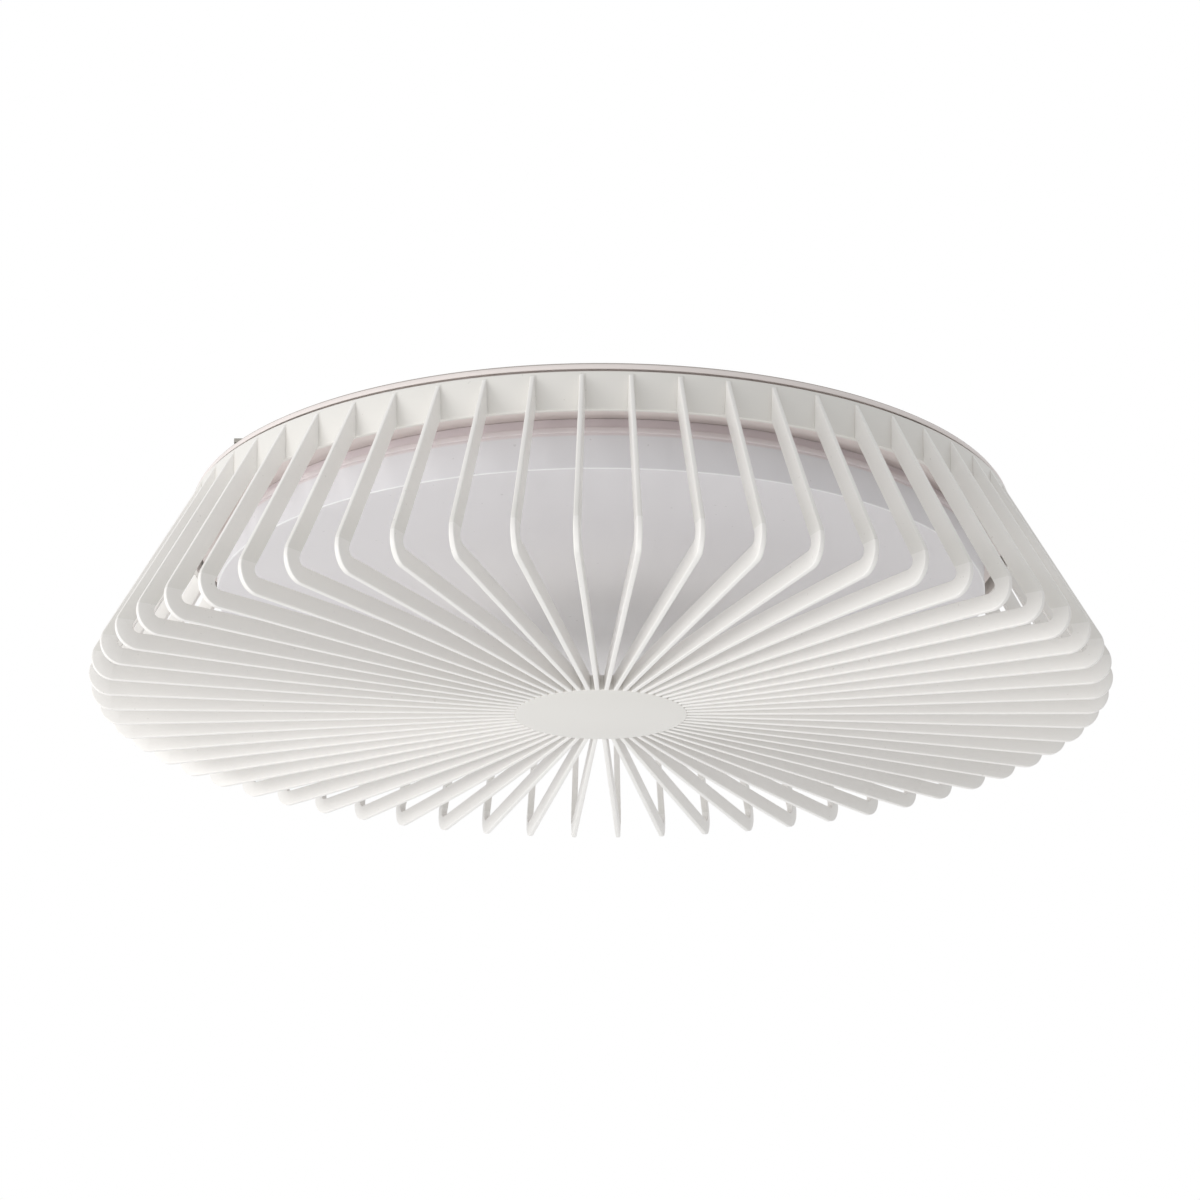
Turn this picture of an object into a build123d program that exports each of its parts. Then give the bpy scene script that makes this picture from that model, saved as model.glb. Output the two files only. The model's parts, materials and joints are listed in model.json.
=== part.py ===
from build123d import *
import math
import os

# LED ceiling light with a ribbed cage. The origin is the centre of the ceiling plane, and the
# light hangs below it, towards -Z. All sizes are millimetres.

# Overall size
overall_diameter = 600
overall_height = 125

# Cage
rib_count = 60
rib_depth = 9.3
rib_top_thickness = 2.8
rib_parting_thickness = 3.6
rib_edge_thickness = 3.2
rib_hub_thickness = 2.85
dish_angle = 0.55
bend_radius = 13
parting_height = 16
hub_diameter = 102
hub_plate = 3
hub_wall = 3
ring_diameter = 495
ring_height = 23
ring_wall = 3
ring_above_ribs = 1.5
ring_below_rim = 1.8
ring_edge_radius = 0.6
cage_tab_count = 4
cage_tab_angle = 6
cage_tab_height = 3
cage_tab_gap = 0.6
cage_tab_below_ring_top = 11
lug_azimuth = 45

# Ceiling bars
bar_thickness = 2.5
bar_width = 25
bar_spacing = 237
bar_long_end = 207.8
bar_short_end = 199
slot_spacing = 300
slot_length = 24
slot_width = 5.5
stud_diameter = 4
stud_spacing = 110
stud_end_below_nut = 2
nut_width = 7
nut_height = 4
nut_washer_diameter = 12
nut_washer_thickness = 1

# Base pan
rim_inside_ring = 1.5
pan_rim_height = 4.2
pan_rim_radius = 2.8
pan_depth = 23.5
pan_sheet = 1

# Lugs that carry the cage
lug_sheet = 1
lug_reach = 3.6
lug_to_ring = 0.4
lug_height = 13
lug_angle = 6
lug_stop_height = 4

# Diffuser
neck_inside_pan = 15.5
lip_overhang = 5.5
drum_inside_lip = 1.5
diffuser_lip_height = 4
diffuser_wall = 2
neck_height = 6.4
drum_height = 17.2
shoulder_radius = 2.5
dome_rise = 6.3
lip_rounding = 0.8
diffuser_tab_count = 4
diffuser_tab_angle = 8
diffuser_tab_length = 8
diffuser_tab_height = 2
diffuser_tab_below_plate = 2.5

# Hooks that carry the diffuser
hook_sheet = 1.2
hook_foot = 12.5
hook_flange = 13
hook_to_neck = 1.5

# Running clearances
running_gap = 0.3
plate_gap = 0.6
stop_gap = 0.5
bore_gap = 0.05

# Light engine
board_to_nut = 10.6
board_to_hook = 4
board_thickness = 1.6
board_count = 4
board_gap_angle = 6
leds_per_board = 12
led_pitch_angle = 6.6
led_size = 3
led_height = 0.7
lens_diameter = 13
lens_height = 6
lens_wall = 1.5
connector_length = 8
connector_width = 6
connector_height = 4
connector_inset = 10
connector_angle = 6
board_screw_inset = 6.5
board_screw_angle = 33

# Driver
driver_length = 130
driver_width = 58
driver_height = 24
driver_wall = 1.5
driver_ear_length = 10
driver_ear_width = 12
driver_ear_thickness = 2
driver_cover_thickness = 2
driver_cover_lip = 3
circuit_thickness = 1.6
circuit_standoff = 3.5
circuit_margin = 1
circuit_post_diameter = 6
circuit_post_inset = 6
driver_corner = 2
output_entry_y = 14
mains_entry_y = -9
mains_entry_spacing = 5
lead_past_wall = 5
transformer_x = 2
core_width = 26
core_height = 14
core_depth = 12
core_leg = 4
core_centre_leg = 7
winding_length = 22
capacitor_places = [(-46, -12), (-46, 12), (42, 12)]
capacitor_diameter = 11
capacitor_height = 14
choke_place = (28, -13)
choke_outer_diameter = 15
choke_inner_diameter = 6
choke_height = 7
chip_places = [(-24, -14), (-24, 14), (24, 14)]
chip_length = 9
chip_width = 5
chip_height = 3

# Mains connection
terminal_to_driver = 24
terminal_length = 22
terminal_width = 32
terminal_height = 17
terminal_pitch = 10
terminal_bore = 4
terminal_corner = 1
terminal_foot_length = 8
terminal_foot_height = 3
terminal_foot_width = 10
terminal_screw_spacing = 11
terminal_screw_diameter = 3.2
terminal_screw_length = 5.6
terminal_insert_wall = 1.2
terminal_insert_length = 18
terminal_grip = 8
inlet_to_terminal = 6.5
grommet_bore = 9
grommet_groove_diameter = 16
grommet_flange_diameter = 21
grommet_flange = 2.5
earth_to_driver = 15
earth_y = 36
earth_lug_thickness = 1
earth_lug_diameter = 9
earth_barrel_length = 9
earth_barrel_wall = 0.6
earth_grip = 6
earth_screw_diameter = 4
earth_screw_head_diameter = 7.5
earth_screw_head_height = 2.4

# Fasteners
screw_diameter = 3
screw_head_diameter = 5.6
screw_head_height = 1.8
screw_past_plate = 2
rivet_diameter = 3.2
rivet_head_diameter = 6
rivet_head_height = 1.1

# Leads
lead_diameter = 2.4
lead_bend = 5
lead_level_below_plate = 8
clip_to_driver = 42
clip_length = 10
clip_width = 7
clip_wall = 1.4
lead_gap = 0.15
output_straight = 13
output_run_in = 12
mains_straight = 7
terminal_straight = 7

os.makedirs("parts", exist_ok=True)

# Radii and levels that follow from the sizes above
ring_radius = ring_diameter / 2
ring_bore_radius = ring_radius - ring_wall
hub_radius = hub_diameter / 2
dish = math.radians(dish_angle)
bend_centre_radius = overall_diameter / 2 - bend_radius
bend_centre_level = -overall_height + bend_radius
parting_level = -overall_height + parting_height
bend_inner_radius = bend_radius - rib_depth

pan_top = -bar_thickness
plate_bottom = pan_top - pan_depth
plate_top = plate_bottom + pan_sheet
pan_wall_radius = ring_bore_radius - lug_to_ring - lug_reach
pan_rim_outer = ring_radius - rim_inside_ring

# The ring hangs just under the pan's rim, and the skirt runs from it to the bend without a kink
ring_top = pan_top - pan_rim_height - ring_below_rim
ring_bottom = ring_top - ring_height
rib_top = ring_top - ring_above_ribs
skirt_reach = bend_centre_radius - ring_radius
skirt_fall = rib_top - bend_centre_level
skirt_run = math.hypot(skirt_reach, skirt_fall)
skirt = math.atan2(skirt_reach, skirt_fall) + math.asin(bend_radius / skirt_run)


def on_bend(radius, angle):
    """A point of the bend's section: radius from its centre, angle from straight out."""
    across = bend_centre_radius + radius * math.cos(angle)
    level = bend_centre_level + radius * math.sin(angle)
    return across, level


def at(radius, azimuth, level=0):
    """A point from its distance to the light's axis, its azimuth in degrees and its level."""
    turn = math.radians(azimuth)
    return radius * math.cos(turn), radius * math.sin(turn), level


def sector(inner_radius, outer_radius, start_angle, end_angle):
    """A flat sector of a ring about the light's axis, between two azimuths."""
    far = 2 * outer_radius
    with BuildSketch() as outline:
        Circle(outer_radius)
        Circle(inner_radius, mode=Mode.SUBTRACT)
        with BuildLine():
            Polyline((0, 0), at(far, start_angle)[:2], at(far, end_angle)[:2], close=True)
        make_face(mode=Mode.INTERSECT)
    return outline.sketch


def screw(shank_diameter, head_diameter, head_height, length):
    """A slotted pan-head screw that points up, its head's upper face at the origin."""
    with BuildPart() as fastener:
        Cylinder(shank_diameter / 2, length, align=(Align.CENTER, Align.CENTER, Align.MIN))
        Cylinder(head_diameter / 2, head_height, align=(Align.CENTER, Align.CENTER, Align.MAX))
        fillet(fastener.edges().sort_by(Axis.Z)[0], head_height / 3)
        with Locations((0, 0, -head_height)):
            Box(head_diameter, head_height / 2, head_height, mode=Mode.SUBTRACT)
    return fastener.part


def lead(*points):
    """An insulated lead along straight runs joined by tangent arcs."""
    with BuildPart() as tube:
        with BuildLine() as route:
            FilletPolyline(*points, radius=lead_bend)
        with BuildSketch(Plane(origin=route.line @ 0, z_dir=route.line % 0)):
            Circle(lead_diameter / 2)
        sweep(path=route.line)
    return tube.part


# The outer line of a rib, from the ring round the bend to the hub
skirt_foot = on_bend(bend_radius, skirt)
arm_foot = on_bend(bend_radius, -math.pi / 2 - dish)
bend_middle = on_bend(bend_radius, (skirt - math.pi / 2 - dish) / 2)
hub_level = arm_foot[1] + (arm_foot[0] - hub_radius) * math.tan(dish)

# The inner line of a rib runs inside the outer one by the rib's depth
skirt_inner = on_bend(bend_inner_radius, skirt)
arm_inner = on_bend(bend_inner_radius, -math.pi / 2 - dish)
bend_inner_middle = on_bend(bend_inner_radius, (skirt - math.pi / 2 - dish) / 2)
ring_inner_level = skirt_inner[1] + (skirt_inner[0] - ring_radius) / math.tan(skirt)
hub_top_level = arm_inner[1] + (arm_inner[0] - hub_radius) * math.tan(dish)

cage_tab_bottom = ring_top - cage_tab_below_ring_top - cage_tab_height


# One rib, drafted from the parting line towards both edges
with BuildPart() as rib:
    with BuildSketch(Plane.XZ):
        with BuildLine():
            Line((ring_radius, rib_top), skirt_foot)
            ThreePointArc(skirt_foot, bend_middle, arm_foot)
            Line(arm_foot, (hub_radius, hub_level))
            Line((hub_radius, hub_level), (hub_radius, hub_top_level))
            Line((hub_radius, hub_top_level), arm_inner)
            ThreePointArc(arm_inner, bend_inner_middle, skirt_inner)
            Line(skirt_inner, (ring_radius, ring_inner_level))
            Line((ring_radius, ring_inner_level), (ring_radius, rib_top))
        make_face()
    extrude(amount=rib_parting_thickness / 2, both=True)
    with BuildSketch(Plane.YZ):
        with BuildLine():
            Polyline(
                (-rib_top_thickness / 2, rib_top),
                (-rib_parting_thickness / 2, parting_level),
                (-rib_edge_thickness / 2, -overall_height),
                (rib_edge_thickness / 2, -overall_height),
                (rib_parting_thickness / 2, parting_level),
                (rib_top_thickness / 2, rib_top),
                close=True,
            )
        make_face()
    extrude(amount=overall_diameter, mode=Mode.INTERSECT)
    with BuildSketch(Plane.XY):
        with BuildLine():
            Polyline(
                (hub_radius, -rib_hub_thickness / 2),
                (bend_centre_radius, -rib_parting_thickness / 2),
                (overall_diameter / 2, -rib_parting_thickness / 2),
                (overall_diameter / 2, rib_parting_thickness / 2),
                (bend_centre_radius, rib_parting_thickness / 2),
                (hub_radius, rib_hub_thickness / 2),
                close=True,
            )
        make_face()
    extrude(amount=-2 * overall_height, mode=Mode.INTERSECT)

rib_pitch = 360 / rib_count
with BuildPart() as cage_ribs:
    with PolarLocations(0, rib_count, start_angle=90 + rib_pitch / 2):
        add(rib.part)
cage_ribs.part.label = "cage_ribs"
export_step(cage_ribs.part, "parts/cage_ribs.step")

# The ring that the ribs hang from, with inward tabs that sit on the pan's lugs
cage_tab_bore = pan_wall_radius + lug_sheet + cage_tab_gap
cage_tab_outline = sector(
    cage_tab_bore, ring_radius - ring_wall / 2, -cage_tab_angle / 2, cage_tab_angle / 2
)
with BuildPart() as cage_ring:
    with BuildSketch(Plane.XY.offset(ring_bottom)):
        Circle(ring_radius)
        Circle(ring_bore_radius, mode=Mode.SUBTRACT)
    extrude(amount=ring_height)
    fillet(cage_ring.edges().filter_by(GeomType.CIRCLE), ring_edge_radius)
    with BuildSketch(Plane.XY.offset(cage_tab_bottom)):
        with PolarLocations(0, cage_tab_count, start_angle=lug_azimuth):
            add(cage_tab_outline)
    extrude(amount=cage_tab_height)
cage_ring.part.label = "cage_ring"
export_step(cage_ring.part, "parts/cage_ring.step")

# The hub that the ribs meet at the centre, a shallow cup that is open upwards
with BuildPart() as cage_hub:
    with BuildSketch(Plane.XY.offset(hub_level)):
        Circle(hub_radius)
    extrude(amount=hub_top_level - hub_level)
    with BuildSketch(Plane.XY.offset(hub_level + hub_plate)):
        Circle(hub_radius - hub_wall)
    extrude(amount=hub_top_level - hub_level, mode=Mode.SUBTRACT)
cage_hub.part.label = "cage_hub"
export_step(cage_hub.part, "parts/cage_hub.step")

# Two slotted bars that are screwed to the ceiling; the rear one is the front one turned round
bar_length = bar_long_end + bar_short_end
for name, side in (("front", -1), ("rear", 1)):
    bar_y = side * bar_spacing / 2
    with BuildPart() as mounting_bar:
        with BuildSketch(Plane.XY.offset(-bar_thickness)):
            with Locations((side * (bar_long_end - bar_short_end) / 2, bar_y)):
                Rectangle(bar_length, bar_width)
            with Locations((-slot_spacing / 2, bar_y), (slot_spacing / 2, bar_y)):
                SlotOverall(slot_length, slot_width, mode=Mode.SUBTRACT)
        extrude(amount=bar_thickness)
    mounting_bar.part.label = f"mounting_bar_{name}"
    export_step(mounting_bar.part, f"parts/mounting_bar_{name}.step")

# Studs welded to the bars, and the flange nuts that hold the pan up against them
nut_bottom = plate_bottom - nut_washer_thickness - nut_height
stud_end = nut_bottom - stud_end_below_nut
with BuildPart() as bar_studs:
    with BuildSketch(Plane.XY.offset(stud_end)):
        with GridLocations(stud_spacing, bar_spacing, 2, 2):
            Circle(stud_diameter / 2)
    extrude(amount=pan_top - stud_end)
    chamfer(bar_studs.faces().filter_by(Axis.Z).group_by(Axis.Z)[0].edges(), stud_diameter / 10)
bar_studs.part.label = "bar_studs"
export_step(bar_studs.part, "parts/bar_studs.step")

with BuildPart() as stud_nuts:
    with BuildSketch(Plane.XY.offset(nut_bottom)):
        with GridLocations(stud_spacing, bar_spacing, 2, 2):
            RegularPolygon(nut_width / 2, 6, major_radius=False)
            Circle(stud_diameter / 2 + bore_gap, mode=Mode.SUBTRACT)
    extrude(amount=nut_height)
    with BuildSketch(Plane.XY.offset(nut_bottom + nut_height)):
        with GridLocations(stud_spacing, bar_spacing, 2, 2):
            Circle(nut_washer_diameter / 2)
            Circle(stud_diameter / 2 + bore_gap, mode=Mode.SUBTRACT)
    extrude(amount=nut_washer_thickness)
stud_nuts.part.label = "stud_nuts"
export_step(stud_nuts.part, "parts/stud_nuts.step")

# Places of the fasteners that pass through the pan's plate and wall
neck_radius = pan_wall_radius - neck_inside_pan
hook_outer_radius = neck_radius - diffuser_wall - hook_to_neck
hook_leg_radius = hook_outer_radius - hook_foot
hook_flange_radius = hook_leg_radius - hook_flange
hook_rivet_radius = (hook_flange_radius + hook_leg_radius) / 2
stud_circle = math.hypot(stud_spacing / 2, bar_spacing / 2)
board_inner_radius = stud_circle + nut_washer_diameter / 2 + board_to_nut
board_outer_radius = hook_flange_radius - board_to_hook
board_screw_radius = board_outer_radius - board_screw_inset
board_azimuths = [(number + 0.5) * 360 / board_count for number in range(board_count)]
board_screw_places = []
for azimuth in board_azimuths:
    for offset in (-board_screw_angle, 0, board_screw_angle):
        board_screw_places.append(at(board_screw_radius, azimuth + offset)[:2])
driver_end = driver_length / 2
driver_ear_x = driver_end + driver_ear_length / 2
driver_screw_places = [(-driver_ear_x, 0), (driver_ear_x, 0)]
terminal_centre_x = driver_end + terminal_to_driver + terminal_length / 2
terminal_end = terminal_centre_x + terminal_length / 2
inlet_centre_x = terminal_end + inlet_to_terminal + grommet_flange_diameter / 2
earth_x = driver_end + earth_to_driver
clip_x = -driver_end - clip_to_driver - clip_length / 2
terminal_foot_y = terminal_width / 2 + terminal_foot_length / 2
terminal_screw_places = [
    (terminal_centre_x, -terminal_foot_y),
    (terminal_centre_x, terminal_foot_y),
]

# The base pan, a deep-drawn steel tray with a flanged rim
rivet_hole = rivet_diameter / 2 + bore_gap
screw_hole = screw_diameter / 2 + bore_gap
lug_foot_top = cage_tab_bottom - running_gap
lug_top = lug_foot_top - lug_sheet + lug_height
lug_rivet_level = (lug_top + cage_tab_bottom + cage_tab_height) / 2
with BuildPart() as base_pan:
    with BuildSketch(Plane.XZ) as pan_section:
        with BuildLine():
            Polyline(
                (0, plate_bottom),
                (pan_wall_radius, plate_bottom),
                (pan_wall_radius, pan_top - pan_sheet),
                (pan_rim_outer - pan_sheet, pan_top - pan_sheet),
                (pan_rim_outer - pan_sheet, pan_top - pan_rim_height),
                (pan_rim_outer, pan_top - pan_rim_height),
                (pan_rim_outer, pan_top),
                (pan_wall_radius - pan_sheet, pan_top),
                (pan_wall_radius - pan_sheet, plate_top),
                (0, plate_top),
                close=True,
            )
        make_face()
        for inside in (0, pan_sheet):
            corner = (pan_rim_outer - inside, pan_top - inside)
            fillet(pan_section.vertices().sort_by_distance(corner)[0], pan_rim_radius - inside)
    revolve(axis=Axis.Z)
    fillet(base_pan.edges().group_by(Axis.Z)[0], pan_sheet / 2)
    with BuildSketch(Plane.XY.offset(plate_bottom)):
        with GridLocations(stud_spacing, bar_spacing, 2, 2):
            Circle(stud_diameter / 2 + running_gap)
        with Locations((inlet_centre_x, 0)):
            Circle(grommet_groove_diameter / 2 + bore_gap)
        with PolarLocations(hook_rivet_radius, diffuser_tab_count):
            Circle(rivet_hole)
        with Locations(*board_screw_places, *driver_screw_places, *terminal_screw_places):
            Circle(screw_hole)
        with Locations((earth_x, earth_y)):
            Circle(earth_screw_diameter / 2 + bore_gap)
    extrude(amount=pan_sheet, mode=Mode.SUBTRACT)
    with PolarLocations(pan_wall_radius - pan_sheet / 2, cage_tab_count, start_angle=lug_azimuth):
        with Locations((0, 0, lug_rivet_level)):
            Cylinder(rivet_hole, 3 * pan_sheet, rotation=(0, 90, 0), mode=Mode.SUBTRACT)
base_pan.part.label = "base_pan"
export_step(base_pan.part, "parts/base_pan.step")

# Lugs riveted to the pan's wall: a leg, a foot under the cage's tab and a stop at one end
lug_stop_start = -cage_tab_angle / 2 - math.degrees((stop_gap + lug_sheet) / pan_wall_radius)
lug_stop_end = -cage_tab_angle / 2 - math.degrees(stop_gap / pan_wall_radius)
lug_leg_radius = pan_wall_radius + lug_sheet
lug_leg_outline = sector(pan_wall_radius, lug_leg_radius, lug_stop_start, lug_angle / 2)
lug_foot_outline = sector(
    pan_wall_radius, pan_wall_radius + lug_reach, lug_stop_start, lug_angle / 2
)
lug_stop_outline = sector(
    pan_wall_radius, pan_wall_radius + lug_reach, lug_stop_start, lug_stop_end
)
with BuildPart() as cage_lugs:
    for outline, height in (
        (lug_leg_outline, lug_height),
        (lug_foot_outline, lug_sheet),
        (lug_stop_outline, lug_sheet + lug_stop_height),
    ):
        with BuildSketch(Plane.XY.offset(lug_foot_top - lug_sheet)):
            with PolarLocations(0, cage_tab_count, start_angle=lug_azimuth):
                add(outline)
        extrude(amount=height)
    with PolarLocations(pan_wall_radius + lug_sheet / 2, cage_tab_count, start_angle=lug_azimuth):
        with Locations((0, 0, lug_rivet_level)):
            Cylinder(rivet_hole, 3 * lug_sheet, rotation=(0, 90, 0), mode=Mode.SUBTRACT)
cage_lugs.part.label = "cage_lugs"
export_step(cage_lugs.part, "parts/cage_lugs.step")


def rivet(grip):
    """A rivet along Z, its factory head under the origin and its set head above the grip."""
    with BuildPart() as fastener:
        Cylinder(
            rivet_head_diameter / 2,
            rivet_head_height,
            align=(Align.CENTER, Align.CENTER, Align.MAX),
        )
        Cylinder(rivet_diameter / 2, grip, align=(Align.CENTER, Align.CENTER, Align.MIN))
        with Locations((0, 0, grip)):
            Cylinder(
                rivet_head_diameter / 2,
                rivet_head_height,
                align=(Align.CENTER, Align.CENTER, Align.MIN),
            )
        fillet(fastener.edges().sort_by(Axis.Z)[0], rivet_head_height / 2)
        fillet(fastener.edges().sort_by(Axis.Z)[-1], rivet_head_height / 2)
    return fastener.part


wall_hollow = (rivet_head_diameter / 2) ** 2 / pan_wall_radius / 2
lug_rivet = rivet(lug_sheet + pan_sheet + 2 * wall_hollow)
with BuildPart() as lug_rivets:
    with PolarLocations(lug_leg_radius, cage_tab_count, start_angle=lug_azimuth):
        with Locations(Location((0, 0, lug_rivet_level), (0, -90, 0))):
            add(lug_rivet)
lug_rivets.part.label = "lug_rivets"
export_step(lug_rivets.part, "parts/lug_rivets.step")

# The opal diffuser: a neck under the pan, a lip, a drum and a shallow dome, in one moulding
lip_radius = neck_radius + lip_overhang
drum_radius = lip_radius - drum_inside_lip
neck_top = plate_bottom - plate_gap
lip_top = neck_top - neck_height
lip_bottom = lip_top - diffuser_lip_height
drum_bottom = lip_bottom - drum_height
shoulder_bottom = drum_bottom - shoulder_radius
dome_bottom = shoulder_bottom - dome_rise
inner_drum = drum_radius - diffuser_wall
inner_shoulder = shoulder_radius - diffuser_wall
shoulder_centre = drum_radius - shoulder_radius
inner_neck = neck_radius - diffuser_wall
inner_lip_level = lip_top - diffuser_wall
inner_dome_bottom = dome_bottom + diffuser_wall
inner_shoulder_bottom = shoulder_bottom + diffuser_wall
diffuser_tab_top = plate_bottom - diffuser_tab_below_plate
diffuser_tab_bottom = diffuser_tab_top - diffuser_tab_height
diffuser_tab_outline = sector(
    inner_neck - diffuser_tab_length,
    neck_radius - diffuser_wall / 2,
    -diffuser_tab_angle / 2,
    diffuser_tab_angle / 2,
)
with BuildPart() as diffuser:
    with BuildSketch(Plane.XZ):
        with BuildLine():
            Line((0, inner_dome_bottom), (0, dome_bottom))
            TangentArc((0, dome_bottom), (shoulder_centre, shoulder_bottom), tangent=(1, 0))
            TangentArc(
                (drum_radius, drum_bottom), (shoulder_centre, shoulder_bottom), tangent=(0, -1)
            )
            Polyline(
                (drum_radius, drum_bottom),
                (drum_radius, lip_bottom),
                (lip_radius, lip_bottom),
                (lip_radius, lip_top),
                (neck_radius, lip_top),
                (neck_radius, neck_top),
                (inner_neck, neck_top),
                (inner_neck, inner_lip_level),
                (inner_drum, inner_lip_level),
                (inner_drum, drum_bottom),
            )
            TangentArc(
                (inner_drum, drum_bottom), (shoulder_centre, inner_shoulder_bottom), tangent=(0, -1)
            )
            TangentArc(
                (0, inner_dome_bottom), (shoulder_centre, inner_shoulder_bottom), tangent=(1, 0)
            )
        make_face()
    revolve(axis=Axis.Z)
    fillet(diffuser.edges().group_by(SortBy.LENGTH)[-1], lip_rounding)
    with BuildSketch(Plane.XY.offset(diffuser_tab_bottom)):
        with PolarLocations(0, diffuser_tab_count):
            add(diffuser_tab_outline)
    extrude(amount=diffuser_tab_height)
diffuser.part.label = "diffuser"
export_step(diffuser.part, "parts/diffuser.step")

# Hooks under the plate that carry the diffuser's tabs: flange, leg, foot and end stop
hook_leg_outer = hook_leg_radius + hook_sheet
hook_foot_top = diffuser_tab_bottom - running_gap
hook_foot_bottom = hook_foot_top - hook_sheet
hook_end = diffuser_tab_angle / 2
hook_stop_end = -hook_end - math.degrees(stop_gap / hook_leg_radius)
hook_start = hook_stop_end - math.degrees(hook_sheet / hook_leg_radius)
hook_flange_outline = sector(hook_flange_radius, hook_leg_outer, hook_start, hook_end)
hook_leg_outline = sector(hook_leg_radius, hook_leg_outer, hook_start, hook_end)
hook_foot_outline = sector(hook_leg_radius, hook_outer_radius, hook_start, hook_end)
hook_stop_outline = sector(hook_leg_radius, hook_outer_radius, hook_start, hook_stop_end)
with BuildPart() as diffuser_hooks:
    for outline, bottom, top in (
        (hook_flange_outline, plate_bottom - hook_sheet, plate_bottom),
        (hook_leg_outline, hook_foot_bottom, plate_bottom),
        (hook_foot_outline, hook_foot_bottom, hook_foot_top),
        (hook_stop_outline, hook_foot_bottom, diffuser_tab_top),
    ):
        with BuildSketch(Plane.XY.offset(bottom)):
            with PolarLocations(0, diffuser_tab_count):
                add(outline)
        extrude(amount=top - bottom)
    with BuildSketch(Plane.XY.offset(plate_bottom)):
        with PolarLocations(hook_rivet_radius, diffuser_tab_count):
            Circle(rivet_hole)
    extrude(amount=-hook_sheet, mode=Mode.SUBTRACT)
diffuser_hooks.part.label = "diffuser_hooks"
export_step(diffuser_hooks.part, "parts/diffuser_hooks.step")

hook_rivet = rivet(hook_sheet + pan_sheet)
with BuildPart() as hook_rivets:
    with PolarLocations(hook_rivet_radius, diffuser_tab_count):
        with Locations((0, 0, plate_bottom - hook_sheet)):
            add(hook_rivet)
hook_rivets.part.label = "hook_rivets"
export_step(hook_rivets.part, "parts/hook_rivets.step")

# The rubber grommet in the cable inlet
with BuildPart() as cable_grommet:
    with BuildSketch(Plane.XY.offset(plate_bottom - grommet_flange)):
        with Locations((inlet_centre_x, 0)):
            Circle(grommet_flange_diameter / 2)
    extrude(amount=2 * grommet_flange + pan_sheet)
    fillet(cable_grommet.edges().group_by(Axis.Z)[0], grommet_flange / 3)
    fillet(cable_grommet.edges().group_by(Axis.Z)[-1], grommet_flange / 3)
    with BuildSketch(Plane.XY.offset(plate_bottom)):
        with Locations((inlet_centre_x, 0)):
            Circle(grommet_flange_diameter)
            Circle(grommet_groove_diameter / 2, mode=Mode.SUBTRACT)
    extrude(amount=pan_sheet, mode=Mode.SUBTRACT)
    with BuildSketch(Plane.XY.offset(plate_bottom - grommet_flange)):
        with Locations((inlet_centre_x, 0)):
            Circle(grommet_bore / 2)
    extrude(amount=2 * grommet_flange + pan_sheet, mode=Mode.SUBTRACT)
cable_grommet.part.label = "cable_grommet"
export_step(cable_grommet.part, "parts/cable_grommet.step")

# The three-pole terminal block on two feet
lead_level = plate_bottom - lead_level_below_plate
lead_radius = lead_diameter / 2
pole_level = lead_level + lead_radius + bore_gap - terminal_bore / 2
insert_radius = terminal_bore / 2 + terminal_insert_wall
pole_places = [(terminal_centre_x, side * terminal_pitch, pole_level) for side in (-1, 0, 1)]
terminal_bottom = plate_bottom - terminal_height
well_radius = terminal_screw_diameter / 2 + bore_gap
with BuildPart() as terminal_block:
    with BuildSketch(Plane.XY.offset(terminal_bottom)):
        with Locations((terminal_centre_x, 0)):
            RectangleRounded(terminal_length, terminal_width, terminal_corner)
    extrude(amount=terminal_height)
    with BuildSketch(Plane.XY.offset(plate_bottom)):
        with Locations((terminal_centre_x, 0)):
            Rectangle(terminal_foot_width, terminal_width + 2 * terminal_foot_length)
    extrude(amount=-terminal_foot_height)
    with BuildSketch(Plane.XY.offset(plate_bottom)):
        with Locations(*terminal_screw_places):
            Circle(screw_hole)
    extrude(amount=-terminal_foot_height, mode=Mode.SUBTRACT)
    with Locations(*pole_places):
        Cylinder(
            insert_radius + bore_gap,
            terminal_length,
            rotation=(0, 90, 0),
            mode=Mode.SUBTRACT,
        )
    with BuildSketch(Plane.XY.offset(terminal_bottom)):
        with Locations((terminal_centre_x, 0)):
            with GridLocations(terminal_screw_spacing, terminal_pitch, 2, 3):
                Circle(well_radius)
    extrude(amount=terminal_height / 2, mode=Mode.SUBTRACT)
terminal_block.part.label = "terminal_block"
export_step(terminal_block.part, "parts/terminal_block.step")

with BuildPart() as terminal_inserts:
    with Locations(*pole_places):
        Cylinder(insert_radius, terminal_insert_length, rotation=(0, 90, 0))
        Cylinder(
            terminal_bore / 2, terminal_insert_length, rotation=(0, 90, 0), mode=Mode.SUBTRACT
        )
    with BuildSketch(Plane.XY.offset(pole_level)):
        with Locations((terminal_centre_x, 0)):
            with GridLocations(terminal_screw_spacing, terminal_pitch, 2, 3):
                Circle(well_radius)
    extrude(amount=-insert_radius, mode=Mode.SUBTRACT)
terminal_inserts.part.label = "terminal_inserts"
export_step(terminal_inserts.part, "parts/terminal_inserts.step")

terminal_screw_top = lead_level - lead_radius - bore_gap
slot_depth = terminal_screw_diameter / 4
with BuildPart() as terminal_screws:
    with BuildSketch(Plane.XY.offset(terminal_screw_top)):
        with Locations((terminal_centre_x, 0)):
            with GridLocations(terminal_screw_spacing, terminal_pitch, 2, 3):
                Circle(terminal_screw_diameter / 2)
    extrude(amount=-terminal_screw_length)
    with BuildSketch(Plane.XY.offset(terminal_screw_top - terminal_screw_length)):
        with Locations((terminal_centre_x, 0)):
            with GridLocations(terminal_screw_spacing, terminal_pitch, 2, 3):
                Rectangle(terminal_screw_diameter, terminal_screw_diameter / 4)
    extrude(amount=slot_depth, mode=Mode.SUBTRACT)
terminal_screws.part.label = "terminal_screws"
export_step(terminal_screws.part, "parts/terminal_screws.step")

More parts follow.
